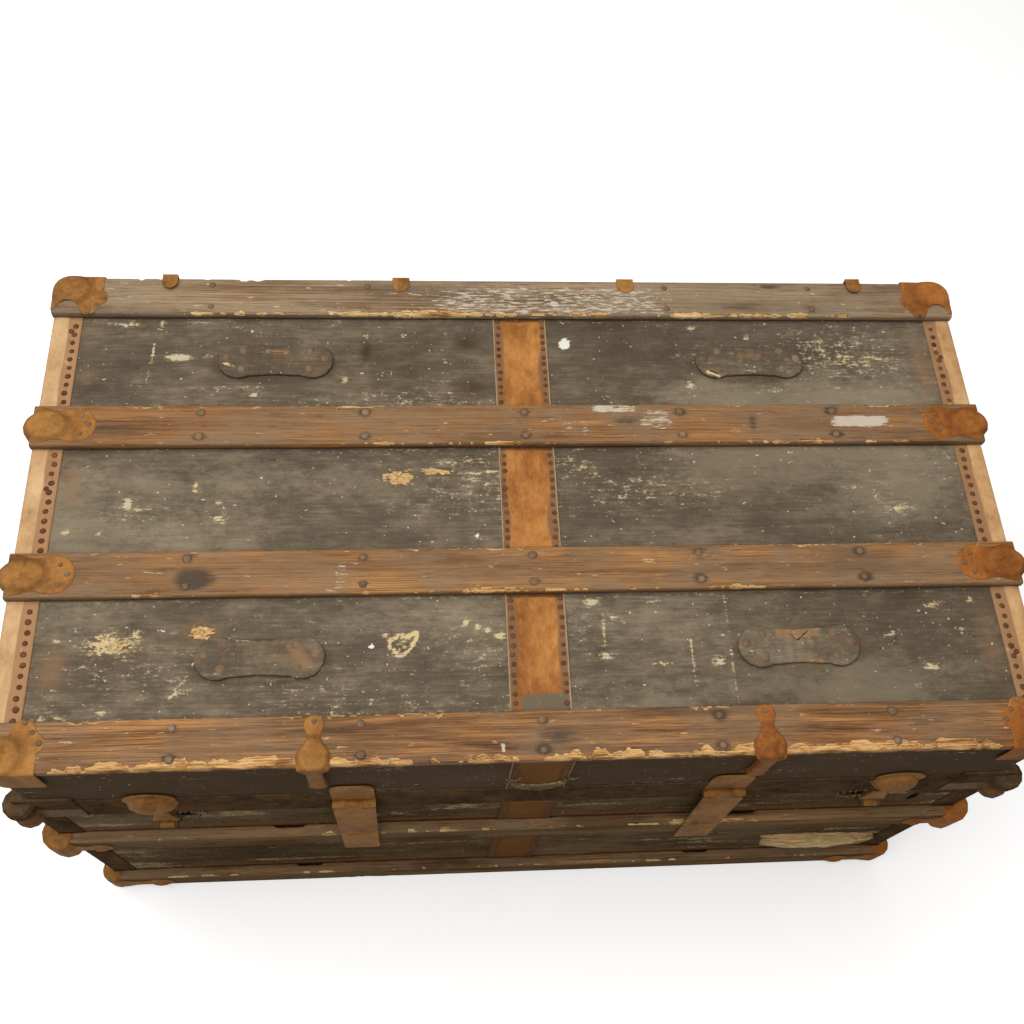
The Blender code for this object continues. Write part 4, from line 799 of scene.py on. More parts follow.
def carveFace(points):
    run = points[:, 0]
    room = np.where(np.abs(run) > slatRooms["angleX"], slatRooms["clearY"], 0)
    if points[0, 1] < 0:
        left, right = slatRooms["band"]
        room = np.where((run > left) & (run < right), slatRooms["clearY"], room)
        for middle in slatRooms["slots"]:
            room = np.where(np.abs(run - middle) < slatRooms["slotHalf"], slatRooms["slotY"], room)
    points[:, 1] = np.sign(points[:, 1]) * np.maximum(np.abs(points[:, 1]), room)
    return points


def carveEnd(points):
    room = np.where(np.abs(points[:, 1]) > slatRooms["angleY"], slatRooms["clearX"], 0)
    points[:, 0] = np.sign(points[:, 0]) * np.maximum(np.abs(points[:, 0]), room)
    return points


# each edge as breakEdges takes it, stains and smears as x, y, half width, half depth and strength
lidSlats = {
    "lid_slat_rear": {
        "finish": "slatGrey",
        "seed": 1.0,
        "edges": [(1, 1, 0.05, 0.006), (-1, 1, 0.1, 0.0052)],
        "stains": nailStains("rear", 0.4) + [(0.27, 0.245, 0.02, 0.004, 0.7)],
        "smears": [(0.0404, 0.2207, 0.003, 0.003, 1.4), (0.035, 0.225, 0.125, 0.018, 0.56)],
        "carve": roundCorners,
    },
    "lid_slat_second": {
        "finish": "slatX",
        "seed": 2.0,
        "edges": [(1, 1, 0.1, 0.0044), (-1, 1, -0.04, 0.0036)],
        "stains": nailStains("second", 0.7) + [
            (0.004, 0.078, 0.02, 0.02, 0.4), (0.105, 0.078, 0.03, 0.014, 0.35),
            (0.228, 0.077, 0.006, 0.016, 0.5),
        ],
        "smears": [
            (0.337, 0.0796, 0.026, 0.0058, 1.0), (0.1318, 0.0827, 0.016, 0.011, 0.55),
            (0.0912, 0.0949, 0.022, 0.004, 0.8), (0.0506, 0.0727, 0.014, 0.008, 0.45),
        ],
    },
    "lid_slat_third": {
        "finish": "slatX",
        "seed": 3.0,
        "edges": [(1, 1, -0.02, 0.0036), (-1, 1, 0.04, 0.0042)],
        "stains": nailStains("third", 0.7) + [
            (-0.3002, -0.0811, 0.022, 0.013, 0.95), (-0.306, -0.0583, 0.014, 0.0045, 0.6),
        ],
        "smears": [(-0.1714, -0.0793, 0.005, 0.014, 0.5), (0.165, -0.07, 0.02, 0.012, 0.3)],
    },
    "lid_slat_front": {
        "finish": "slatFront",
        "seed": 4.0,
        "edges": [(1, 1, 0.16, 0.0062), (-1, 1, 0.85, 0.0078)],
        "reach": 0.0055,
        "stains": nailStains("front", 0.7) + [
            (0.018, -0.228, 0.03, 0.014, 0.5), (-0.3, -0.226, 0.02, 0.012, 0.4),
        ],
        "smears": [
            (0.3254, -0.2314, 0.0052, 0.0036, 0.5), (0.2907, -0.2349, 0.0062, 0.0028, 0.55),
            (0.3488, -0.223, 0.004, 0.0028, 0.5), (0.235, -0.226, 0.0036, 0.003, 0.45),
            (-0.031, -0.2405, 0.0018, 0.0032, 0.9),
        ],
        "carve": roundCorners,
    },
}

# name, direction, side and step of the seed
bodySlats = (("front", "X", -1, 0), ("back", "X", 1, 0), ("left", "Y", -1, 5), ("right", "Y", 1, 5))


def makeSlats():
    for name, slat in lidSlats.items():
        makeSlat(name, along="X", **slat)
    for prefix, seed in (("mid", 10), ("bottom", 20)):
        for name, along, side, step in bodySlats:
            makeSlat(
                f"{prefix}_slat_{name}", f"slatDark{along}", along, seed + step + side,
                [(side, 1, 0.0, 0.0042), (side, -1, -0.2, 0.003)],
                carve=carveFace if along == "X" else carveEnd,
            )
    print("slats")


# skins, studs and pressed plates

def openEdges(shape):
    return [edge for edge in shape.edges if len(edge.link_faces) == 1]


def pushOut(shape, edges, shift=(0, 0, 0), scale=(1, 1, 1)):
    grown = bmesh.ops.extrude_edge_only(shape, edges=edges)["geom"]
    verts = [g for g in grown if isinstance(g, bmesh.types.BMVert)]
    bmesh.ops.translate(shape, vec=shift, verts=verts)
    bmesh.ops.scale(shape, vec=scale, verts=verts)
    reached = set(verts)
    return [g for g in grown if isinstance(g, bmesh.types.BMEdge) and reached.issuperset(g.verts)]


facings = {
    "up": Matrix.Identity(3),
    "front": Matrix(((1, 0, 0), (0, 0, -1), (0, 1, 0))),
    "back": Matrix(((1, 0, 0), (0, 0, 1), (0, -1, 0))),
    "left": Matrix(((0, 0, -1), (0, 1, 0), (1, 0, 0))),
    "right": Matrix(((0, 0, 1), (0, 1, 0), (-1, 0, 0))),
}


# round heads: body, finish, facing, radius, height and seed
studKinds = {
    "padRivets": ("lid", "nail", "up", 0.0053, 0.0022, 5),
    "endTacks_left": ("lid", "tack", "up", 0.0029, 0.0012, 6),
    "endTacks_right": ("lid", "tack", "up", 0.0029, 0.0012, 8),
    "bandTacks": ("lid", "tack", "up", 0.0026, 0.0011, 22),
    "bandTacksFront": ("lid", "tack", "front", 0.0025, 0.0011, 23),
    "bodyBandTacks": ("body", "tack", "front", 0.0025, 0.0011, 24),
    "slatNails": ("lid", "nail", "up", 0.0041, 0.0015, 31),
    "rearNails": ("lid", "nail", "up", 0.0034, 0.0013, 32),
    "clampNails": ("lid", "nail", "up", 0.0026, 0.0016, 33),
    "legNails": ("body", "iron", "front", 0.0024, 0.0013, 34),
    "handleRivets_left": ("body", "nail", "left", 0.003, 0.0014, 44),
    "handleRivets_right": ("body", "nail", "right", 0.003, 0.0014, 46),
    "hingeNailsLid": ("lid", "nail", "back", 0.003, 0.0014, 51),
    "hingeNailsBody": ("body", "nail", "back", 0.003, 0.0014, 52),
    "tabNails": ("lid", "iron", "up", 0.003, 0.0014, 41),
}


def studs(name, spots):
    # small domed heads, none quite like the next
    body, finish, facing, radius, height, seed = studKinds[name]
    chance = np.random.default_rng(seed)
    shape = bmesh.new()
    for spot in spots:
        made = bmesh.ops.create_uvsphere(shape, u_segments=8, v_segments=4, radius=1)["verts"]
        size = radius * chance.uniform(0.88, 1.1)
        bmesh.ops.scale(shape, vec=(size, size, height * chance.uniform(0.8, 1.0)), verts=made)
        tilt = Matrix.Rotation(chance.uniform(-0.1, 0.1), 3, "X")
        tilt = tilt @ Matrix.Rotation(chance.uniform(-0.1, 0.1), 3, "Y")
        bmesh.ops.transform(shape, matrix=(facings[facing] @ tilt).to_4x4(), verts=made)
        bmesh.ops.translate(shape, vec=spot, verts=made)
    place(pieceFrom(shape, name, finishes[finish]), body, "rusty_iron")


def shapeOf(name):
    # the mesh of a solid, in its place and without doubled points
    source = frame["nodes"][name]
    shape = bmesh.new()
    shape.from_mesh(source.data)
    bmesh.ops.transform(shape, matrix=source.matrix_world, verts=shape.verts)
    bmesh.ops.remove_doubles(shape, verts=shape.verts, dist=1e-5)
    return shape


def oneSkin(shape, name, finish, voxel, rounds):
    # remakes a shape as one even skin and smooths it
    piece = pieceFrom(shape, name, finish)
    cells = piece.modifiers.new("cells", "REMESH")
    cells.mode = "VOXEL"
    cells.voxel_size = voxel
    skin = bpy.data.meshes.new_from_object(piece.evaluated_get(bpy.context.evaluated_depsgraph_get()))
    shape = bmesh.new()
    shape.from_mesh(skin)
    for _ in range(rounds):
        bmesh.ops.smooth_vert(
            shape, verts=shape.verts, factor=0.5, use_axis_x=True, use_axis_y=True, use_axis_z=True
        )
    bpy.data.objects.remove(piece)
    bpy.data.meshes.remove(skin)
    return pieceFrom(shape, name, finish)


def raisedPlate(shape, outline, way):
    # draws a flat outline out into a plate
    face = shape.faces.new([shape.verts.new(spot) for spot in outline])
    grown = bmesh.ops.extrude_face_region(shape, geom=[face])["geom"]
    raised = [part for part in grown if isinstance(part, bmesh.types.BMVert)]
    bmesh.ops.translate(shape, vec=way, verts=raised)


def block(shape, size, spot):
    made = bmesh.ops.create_cube(shape, size=1)["verts"]
    bmesh.ops.scale(shape, vec=size, verts=made)
    bmesh.ops.translate(shape, vec=spot, verts=made)


def softEdges(shape, edges, offset, segments):
    bmesh.ops.bevel(
        shape, geom=edges, offset=offset, segments=segments, affect="EDGES", profile=0.5, material=-1
    )


plates = {
    "margin": 2e-5,
    "domeFoot": 1.02,
    "domeFootReach": 0.24,
    # the flat of a plate sinks round its dome, fully above the second height
    "sinkFrom": 0.4985,
    "sinkFull": 0.5065,
    "coarse": (60, 60, 60),
    "fine": (210, 210, 210),
    "fineShare": 0.4,
}


def pressed(
    name, finish, body, voxel, slot="rusty_iron", rounds=3, domes=(), lower=0.0, dents=0.0002, seed=1.0
):
    # the plate of the solid, drawn in one skin and then pressed: raised domes, with painted shade round their
    # feet
    low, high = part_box(name)
    piece = oneSkin(shapeOf(name), name + "_plate", finishes[finish], voxel, rounds)
    points = pointsOf(piece)
    foot = np.zeros(len(points))
    rise = np.zeros(len(points))
    for x, y, reachX, reachY in domes:
        far = np.sqrt(((points[:, 0] - x) / reachX) ** 2 + ((points[:, 1] - y) / reachY) ** 2)
        rise = np.maximum(rise, np.sqrt(np.clip(1 - far ** 2, 0, 1)))
        # painted shade in a ring round the foot of each dome
        foot = np.maximum(foot, hump(far, plates["domeFoot"], plates["domeFootReach"]))
    points[:, 2] -= lower * (1 - rise) * smoothStep(plates["sinkFrom"], plates["sinkFull"], points[:, 2])
    coarse = [grain(points, plates["coarse"], seed + k) for k in range(3)]
    fine = [grain(points, plates["fine"], seed + k + 4) for k in range(3)]
    points += dents * (np.stack(coarse, axis=1) + plates["fineShare"] * np.stack(fine, axis=1))
    margin = plates["margin"]
    setPoints(piece, np.clip(points, np.array(low) + margin, np.array(high) - margin))
    paint(piece, "foot", foot)
    return place(piece, body, slot, name)


# canvas, with its scuffs, stains and tears

canvasBuild = {
    "cell": 0.003,
    "wallCell": 0.006,
    "thick": 0.001,
    "lidFoot": 0.3753,
    "lidCorner": 0.0148,
    "bodyCorner": 0.0012,
    "sag": 0.00035,
    "sagX": 0.43,
    "sagY": 0.2,
    # right of the long scratch the field before the third slat is a little darker
    "shadeX": (0.176, 0.181),
    "shadeY": -0.097,
}

# x, y, half width, half depth and strength, seen from above
lidScuffs = [
    (-0.3907, 0.2004, 0.0234, 0.003, 0.75), (-0.3543, 0.2033, 0.0044, 0.0052, 0.8),
    (-0.3169, 0.2032, 0.0193, 0.003, 0.7), (-0.3355, 0.1614, 0.0154, 0.0054, 1.0),
    (-0.3056, 0.1641, 0.0068, 0.0032, 0.8), (-0.2585, 0.1875, 0.0055, 0.0028, 0.7),
    (-0.2604, 0.117, 0.0043, 0.004, 0.9), (-0.2826, 0.1263, 0.0365, 0.0032, 0.6),
    (-0.1733, 0.135, 0.0039, 0.0047, 0.9), (-0.1519, 0.1879, 0.0035, 0.0035, 0.8),
    (-0.1147, 0.1893, 0.0035, 0.0035, 0.8), (-0.072, 0.1894, 0.0035, 0.0035, 0.8),
    (-0.1523, 0.152, 0.0032, 0.0032, 0.7), (-0.0739, 0.1573, 0.0038, 0.0036, 0.8),
    (-0.1521, 0.1188, 0.0032, 0.0032, 0.7), (-0.1133, 0.1197, 0.0032, 0.0032, 0.7),
    (-0.0694, 0.12, 0.0032, 0.0032, 0.7), (0.24, 0.188, 0.0039, 0.0068, 0.8),
    (0.3354, 0.164, 0.085, 0.04, 0.55), (0.263, 0.1233, 0.0293, 0.0059, 0.5),
    (0.1743, 0.1301, 0.0067, 0.0072, 0.95), (0.1823, 0.1988, 0.0069, 0.0042, 0.7),
    (-0.3681, -0.0003, 0.0058, 0.0078, 0.9), (-0.3078, 0.0143, 0.0041, 0.0095, 0.8),
    (-0.419, -0.0291, 0.0048, 0.0043, 0.8), (-0.3901, -0.0309, 0.0035, 0.0028, 0.8),
    (-0.2841, -0.0162, 0.0099, 0.0092, 0.7), (-0.3614, -0.0127, 0.0417, 0.018, 0.38),
    (0.3611, -0.013, 0.0164, 0.0083, 0.7), (0.3311, 0.0101, 0.0381, 0.0237, 0.36),
    (0.4234, 0.0456, 0.0046, 0.0049, 0.7), (-0.367, -0.139, 0.0267, 0.011, 1.0),
    (-0.3468, -0.1272, 0.0092, 0.0044, 0.9), (-0.4141, -0.1331, 0.0054, 0.0042, 0.7),
    (-0.3993, -0.1232, 0.0032, 0.006, 0.7), (-0.399, -0.1601, 0.0315, 0.0032, 0.6),
    (-0.3079, -0.1795, 0.0118, 0.0129, 0.5), (-0.1851, -0.1814, 0.0046, 0.004, 0.8),
    (-0.1941, -0.1904, 0.0032, 0.0028, 0.8), (-0.3702, -0.1989, 0.0053, 0.003, 0.8),
    (-0.0597, -0.1229, 0.004, 0.0036, 1.2), (-0.0482, -0.1268, 0.0038, 0.0034, 1.2),
    (-0.0405, -0.1305, 0.0036, 0.0034, 1.2), (-0.0301, -0.1358, 0.006, 0.0036, 1.1),
    (-0.1092, -0.1728, 0.0047, 0.0046, 0.6), (-0.0511, -0.1912, 0.0103, 0.003, 0.6),
    (0.0552, -0.1053, 0.01, 0.0059, 0.95), (0.0739, -0.1197, 0.006, 0.0063, 0.7),
    (0.064, -0.1558, 0.0088, 0.0071, 0.7), (0.111, -0.1655, 0.0137, 0.003, 0.7),
    (0.1131, -0.1048, 0.0098, 0.0034, 0.6), (0.1662, -0.1633, 0.0068, 0.0061, 0.9),
    (0.3752, -0.1131, 0.0125, 0.0082, 0.8), (0.3953, -0.1387, 0.0052, 0.0033, 0.8),
    (0.3313, -0.1397, 0.0153, 0.0063, 0.5), (0.3598, -0.1735, 0.0101, 0.0042, 1.0),
    (0.3452, -0.1904, 0.005, 0.0028, 0.8), (0.412, -0.1078, 0.0042, 0.0044, 0.8),
]
lidBare = [
    (-0.1196, 0.0244, 0.0203, 0.0105, 0.75), (-0.0831, 0.0311, 0.0209, 0.0048, 0.75),
    (-0.2916, -0.1277, 0.0108, 0.0071, 1.0), (-0.36, -0.1395, 0.013, 0.005, 0.75),
]
lidWhite = [
    (0.0491, 0.1787, 0.0068, 0.0078, 1.0), (-0.047, -0.037, 0.003, 0.003, 1.0),
    (-0.1433, -0.1436, 0.003, 0.003, 1.0),
]
lidShade = [
    (-0.1521, 0.1696, 0.006, 0.015, 1.0), (-0.0522, 0.1784, 0.0135, 0.0105, 0.9),
    (-0.0479, 0.1267, 0.02, 0.0155, 0.8), (-0.115, 0.155, 0.06, 0.05, 0.35),
    (0.2, 0.01, 0.16, 0.05, 0.3), (0.09, 0.155, 0.05, 0.06, 0.25),
]
lidWarm = [
    (-0.4215, 0.1414, 0.0142, 0.011, 0.4), (-0.425, 0.19, 0.01, 0.02, 0.3),
    (-0.42, 0.02, 0.012, 0.03, 0.5), (-0.415, -0.16, 0.016, 0.03, 0.5),
    (0.42, 0.15, 0.012, 0.05, 0.5), (0.42, -0.15, 0.012, 0.05, 0.4),
    (-0.2916, -0.1277, 0.018, 0.012, 0.6), (-0.36, -0.139, 0.035, 0.016, 0.4),
]
# from x, y to x, y, with half width and strength
lidScratches = [
    (-0.3612, 0.1781, -0.3634, 0.1362, 0.0016, 0.85), (-0.3022, 0.003, -0.2696, -0.0029, 0.0016, 0.8),
    (-0.0621, 0.031, -0.0267, 0.0307, 0.0016, 0.9), (0.0655, -0.1133, 0.0637, -0.1468, 0.0017, 0.7),
    (0.1423, -0.1423, 0.1438, -0.1867, 0.0017, 0.85), (0.1779, -0.0985, 0.1779, -0.2012, 0.0012, 0.62),
    (-0.301, -0.169, -0.315, -0.19, 0.0016, 0.75), (0.39, -0.133, 0.401, -0.146, 0.0016, 0.7),
    (-0.285, 0.199, -0.235, 0.2, 0.0014, 0.6), (0.295, 0.124, 0.345, 0.126, 0.0014, 0.6),
]
# the heart-shaped scrape: its outline, then its blot and its worn middle
heartLine = [
    (-0.1285, -0.1391), (-0.1255, -0.1473), (-0.119, -0.1537), (-0.1123, -0.1506), (-0.1075, -0.1437),
    (-0.103, -0.1365), (-0.1033, -0.1314), (-0.111, -0.135), (-0.119, -0.133), (-0.1235, -0.1376),
]
heartBlots = [(-0.1305, -0.1325, 0.004, 0.0036, 1.1), (-0.1165, -0.1435, 0.0115, 0.01, 0.5)]

padCentres = [(-0.2405, 0.1562), (0.238, 0.1562), (-0.2395, -0.1532), (0.2405, -0.1516)]
# torn places and rust on the front, as x, z, half width, half height and strength
lidHoles = [(-0.327, 0.389, 0.018, 0.009, 1.0), (0.33, 0.389, 0.018, 0.009, 1.0)]
bodyHoles = [
    (-0.325, 0.338, 0.022, 0.013, 1.2), (0.331, 0.34, 0.024, 0.013, 1.2), (0.4, 0.31, 0.006, 0.02, 0.9),
]
bodyWarm = [(-0.05, 0.2, 0.1, 0.015, 0.6)]


def lidSheet():
    # the top and its drop on all sides, with an inner face close within
    shape = bmesh.new()
    cell = canvasBuild["cell"]
    reachX, reachY = trunk["endX"], trunk["sideY"]
    bmesh.ops.create_grid(
        shape, x_segments=round(2 * reachX / cell), y_segments=round(2 * reachY / cell), size=0.5
    )
    bmesh.ops.scale(shape, vec=(2 * reachX, 2 * reachY, 1), verts=shape.verts)
    bmesh.ops.translate(shape, vec=(0, 0, trunk["lidTop"]), verts=shape.verts)
    rim = openEdges(shape)
    depth = trunk["lidTop"] - canvasBuild["lidFoot"]
    steps = round(depth / canvasBuild["wallCell"])
    for _ in range(steps):
        rim = pushOut(shape, rim, (0, 0, -depth / steps))
    rim = pushOut(shape, rim, (0, 0, 0), inward())
    rim = pushOut(shape, rim, (0, 0, depth - canvasBuild["thick"]))
    bmesh.ops.holes_fill(shape, edges=rim, sides=0)
    outward(shape)
    return shape


def inward():
    # the scale that takes the outer loop of the canvas to its inner face
    return (1 - canvasBuild["thick"] / trunk["endX"], 1 - canvasBuild["thick"] / trunk["sideY"], 1)


def lidScuff(points, top, sides):
    heart = [(*start, *end, 0.0022, 1.1) for start, end in zip(heartLine, heartLine[1:] + heartLine[:1])]
    scuffAndHighlight = np.max([
        spotLevel(points, lidScuffs), lineLevel(points, lidScratches),
        lineLevel(points, heart), spotLevel(points, heartBlots),
    ], axis=0)
    beside = np.min([np.abs(np.abs(points[:, 1] - row) - 0.0235) for row in rows.values()], axis=0)
    besideSlats = 0.3 * hump(beside, 0, 0.003)
    drift = 0.1 + 0.34 * grain(points, (7, 13, 1), 5) + 0.2 * grain(points, (23, 40, 1), 6)
    drift = np.clip(drift, 0, 0.5)
    scuffAndHighlight = np.maximum(np.maximum(scuffAndHighlight, besideSlats + drift * 0.5), drift) * top
    return scuffAndHighlight + sides * np.clip(grain(points, (12, 12, 60), 8) - 0.35, 0, 1)


def lidShadow(points, top, sides):
    shade = spotLevel(points, lidShade) * top
    for middle, row in padCentres:
        ring = np.sqrt(((points[:, 0] - middle) / 0.066) ** 2 + ((points[:, 1] - row + 0.003) / 0.024) ** 2)
        shade = np.maximum(shade, 0.45 * hump(np.maximum(ring - 0.9, 0), 0, 0.07) * top)
    right = smoothStep(*canvasBuild["shadeX"], points[:, 0]) * (points[:, 1] < canvasBuild["shadeY"]) * top
    return np.max([shade, 0.26 * right, 0.8 * sides], axis=0)


def onFront(points):
    return points[:, 1] < -trunk["sideY"] + 0.0006


def makeLidCover():
    cover = pieceFrom(lidSheet(), "lidCover", finishes["canvas"])
    points = roundCorners(pointsOf(cover), trunk["endX"], trunk["sideY"], canvasBuild["lidCorner"])
    setPoints(cover, points)
    sharpen(cover)
    top = points[:, 2] > trunk["lidTop"] - 0.001
    ways = np.abs(points)
    sag = canvasBuild["sag"] * (1 + grain(points, (14, 20, 20), 3))
    points[:, 2] -= sag * top * (ways[:, 0] < canvasBuild["sagX"]) * (ways[:, 1] < canvasBuild["sagY"])
    setPoints(cover, points)
    outside = np.maximum(ways[:, 0] - trunk["endX"], ways[:, 1] - trunk["sideY"]) > -0.0005
    sides = outside * ~top
    levels = {
        "scuffAndHighlight": lidScuff(points, top, sides),
        "bare": spotLevel(points, lidBare) * top,
        "white": spotLevel(points, lidWhite) * top,
        "shade": lidShadow(points, top, sides),
        "warm": np.maximum(spotLevel(points, lidWarm) * top, 0.24 * sides),
        "hole": spotLevel(points, lidHoles, (0, 2)) * onFront(points),
    }
    for name, values in levels.items():
        paint(cover, name, values)
    place(cover, "lid", "canvas", "lid_canvas")


# the quilted pads: two round lobes joined by a waist, with six rivets each
pads = {
    "half": 0.0562,
    "lobe": 0.02,
    "waist": 0.0158,
    "sunk": 0.0008,
    "rise": 0.0035,
    "voxel": 0.0009,
    "rounds": 6,
    "ribs": 620,
    "ribReach": 0.028,
    "ribRise": 0.0005,
    "swell": 0.0007,
    "rivets": ((0.048, 0.0025), (0.033, -0.01), (0.0325, 0.0112)),
    "rivetTop": 0.0026,
}

# slits, torn places and rust on the pads, from x, y to x, y with half width and strength
padMarks = [
    {
        "hole": [(-0.247, 0.1655, -0.234, 0.165, 0.001, 0.65)],
        "warm": [(-0.249, 0.1662, -0.23, 0.1655, 0.0024, 1.0)],
        "scuffAndHighlight": [(-0.29, 0.152, -0.28, 0.148, 0.002, 0.7)],
    },
    {
        "hole": [(0.196, 0.144, 0.203, 0.14, 0.001, 0.8)],
        "warm": [(0.228, 0.162, 0.248, 0.162, 0.004, 0.5)],
        "scuffAndHighlight": [
            (0.193, 0.142, 0.204, 0.137, 0.0022, 0.9), (0.23, 0.144, 0.256, 0.143, 0.002, 0.5),
        ],
    },
    {
        "hole": [(-0.261, -0.14, -0.258, -0.162, 0.0006, 0.55)],
        "warm": [(-0.21, -0.145, -0.2, -0.16, 0.008, 0.7)],
        "scuffAndHighlight": [(-0.26, -0.137, -0.215, -0.136, 0.0016, 0.6)],
    },
    {
        "hole": [
            (0.232, -0.1405, 0.2395, -0.147, 0.0011, 0.62),
            (0.2395, -0.147, 0.25, -0.138, 0.0011, 0.62),
        ],
        "warm": [
            (0.226, -0.139, 0.254, -0.138, 0.006, 1.3), (0.245, -0.168, 0.258, -0.1675, 0.003, 1.0),
        ],
        "scuffAndHighlight": [(0.237, -0.143, 0.245, -0.143, 0.0024, 0.6)],
    },
]


def padOutline(middle, row, height):
    half, lobe, waist = pads["half"], pads["lobe"], pads["waist"]
    right = [(half - lobe + lobe * math.cos(a), lobe * math.sin(a)) for a in np.linspace(-2.1, 2.1, 17)]
    endX, endY = right[-1]
    top = []
    for x in np.linspace(endX * 0.85, 0, 7):
        top.append((x, waist + (endY - waist) * smoothStep(0.0, 1.0, x / endX)))
    side = right + top
    side += [(-x, y) for x, y in reversed(side)][1:]
    # both halves meet in the middle of the waist, above and below
    lower = [(x, -y) for x, y in reversed(top)]
    whole = side + [(-x, y) for x, y in reversed(lower)][1:-1] + lower[:-1]
    return [(middle + x, row + y, height) for x, y in whole]


def makePads():
    low = trunk["lidTop"] - pads["sunk"]
    for number, (middle, row) in enumerate(padCentres):
        shape = bmesh.new()
        raisedPlate(shape, padOutline(middle, row, low), (0, 0, pads["rise"] + pads["sunk"]))
        outward(shape)
        pad = oneSkin(shape, f"pad{number}", finishes["canvas"], pads["voxel"], pads["rounds"])
        points = pointsOf(pad)
        high = smoothStep(low + 0.001, low + 0.003, points[:, 2])
        ribs = np.sin((points[:, 0] - middle) * pads["ribs"] + 1.5 * grain(points, (40, 90, 40), number + 3))
        ribs = pads["ribRise"] * ribs * hump(points[:, 0], middle, pads["ribReach"])
        points[:, 2] += high * (ribs + pads["swell"] * grain(points, (55, 75, 1), number))
        setPoints(pad, points)
        edge = 1 - smoothStep(low + 0.0012, low + 0.0036, points[:, 2])
        front = smoothStep(0.004, -0.012, points[:, 1] - row)
        marks = {name: lineLevel(points, lines) for name, lines in padMarks[number].items()}
        warm = 0.32 * smoothStep(0.0, 0.9, grain(points, (30, 40, 30), number + 6)) * high
        # painted shadow round the pad's edge, darkest along its front, and the whole pad a little darker; the
        # pale line along its back edge, painted with the scuffs, is a painted highlight
        paint(pad, "shade", edge * (0.35 + 0.55 * front) + 0.16)
        paint(pad, "warm", np.maximum(warm, marks["warm"] * high))
        paint(pad, "scuffAndHighlight", np.maximum(0.18 * high, marks["scuffAndHighlight"]) + 0.35 * edge * (1 - front))
        paint(pad, "hole", marks["hole"] * high)
        place(pad, "lid", "canvas")
    height = trunk["lidTop"] + pads["rivetTop"]
    spots = [(x, y, side) for x, y in pads["rivets"] for side in (-1, 1)]
    studs("padRivets", [(mid + side * x, row + y, height) for mid, row in padCentres for x, y, side in spots])


def makeBodyCover():
    reachX, reachY, seam, cell = trunk["endX"], trunk["sideY"], trunk["seam"], canvasBuild["wallCell"]
    shape = loopOf(2 * reachX, 2 * reachY, canvasBuild["bodyCorner"], cell)
    bmesh.ops.delete(shape, geom=list(shape.faces), context="FACES_ONLY")
    drawOut(shape, (0, 0, seam), round(seam / cell))
    lower = [e for e in openEdges(shape) if max(v.co.z for v in e.verts) < 1e-4]
    rim = pushOut(shape, lower, (0, 0, 0), inward())
    pushOut(shape, rim, (0, 0, seam))
    bmesh.ops.bridge_loops(shape, edges=openEdges(shape))
    outward(shape)
    cover = pieceFrom(shape, "bodyCover", finishes["canvasDark"])
    sharpen(cover)
    points = pointsOf(cover)
    front = onFront(points)
    # rust in a line above each row of slats
    rust = hump(points[:, 2], 0.276, 0.006) + hump(points[:, 2], 0.05, 0.006)
    paint(cover, "shade", 0.15 + 0.3 * grain(points, (5, 5, 12), 4))
    paint(cover, "scuffAndHighlight", np.clip(0.9 * grain(points, (14, 14, 70), 6) - 0.05, 0, 0.7))
    paint(cover, "warm", np.maximum(rust * 0.8, spotLevel(points, bodyWarm, (0, 2)) * front))
    paint(cover, "hole", spotLevel(points, bodyHoles, (0, 2)) * front)
    place(cover, "body", "canvas", "body_canvas")
    print("canvas")


# leather on the lid's ends and the fibre band down its middle

# the section: a strip on top, a rounded corner and a drop down the end
binding = {
    "outer": 0.4618,
    "inner": 0.4328,
    "top": 0.4968,
    "bottom": 0.471,
    "thick": 0.0014,
    "round": 0.003,
    "steps": 150,
    "swellX": 0.454,
    "swellReach": 0.0065,
    "swell": 0.0007,
    "press": 0.0004,
    "line": 0.4455,
    "tackX": 0.4392,
    "tackZ": 0.4964,
    "tackGap": 0.0098,
    "oldTackX": 0.4425,
}


def bindingSection():
    outer, inner, top, bottom = binding["outer"], binding["inner"], binding["top"], binding["bottom"]
    thick, bend = binding["thick"], binding["round"]
    angles = np.linspace(0, math.pi / 2, 6)
    section = [(x, top) for x in np.linspace(inner + 0.0006, outer - bend - 0.0005, 13)]
    section += [(outer - bend + bend * math.sin(a), top - bend + bend * math.cos(a)) for a in angles]
    section += [(outer, z) for z in np.linspace(top - bend - 0.0005, bottom, 9)]
    section += [(outer - thick, bottom), (outer - thick, top - thick)]
    section += [(inner, top - thick), (inner, top - 0.0006)]
    return section


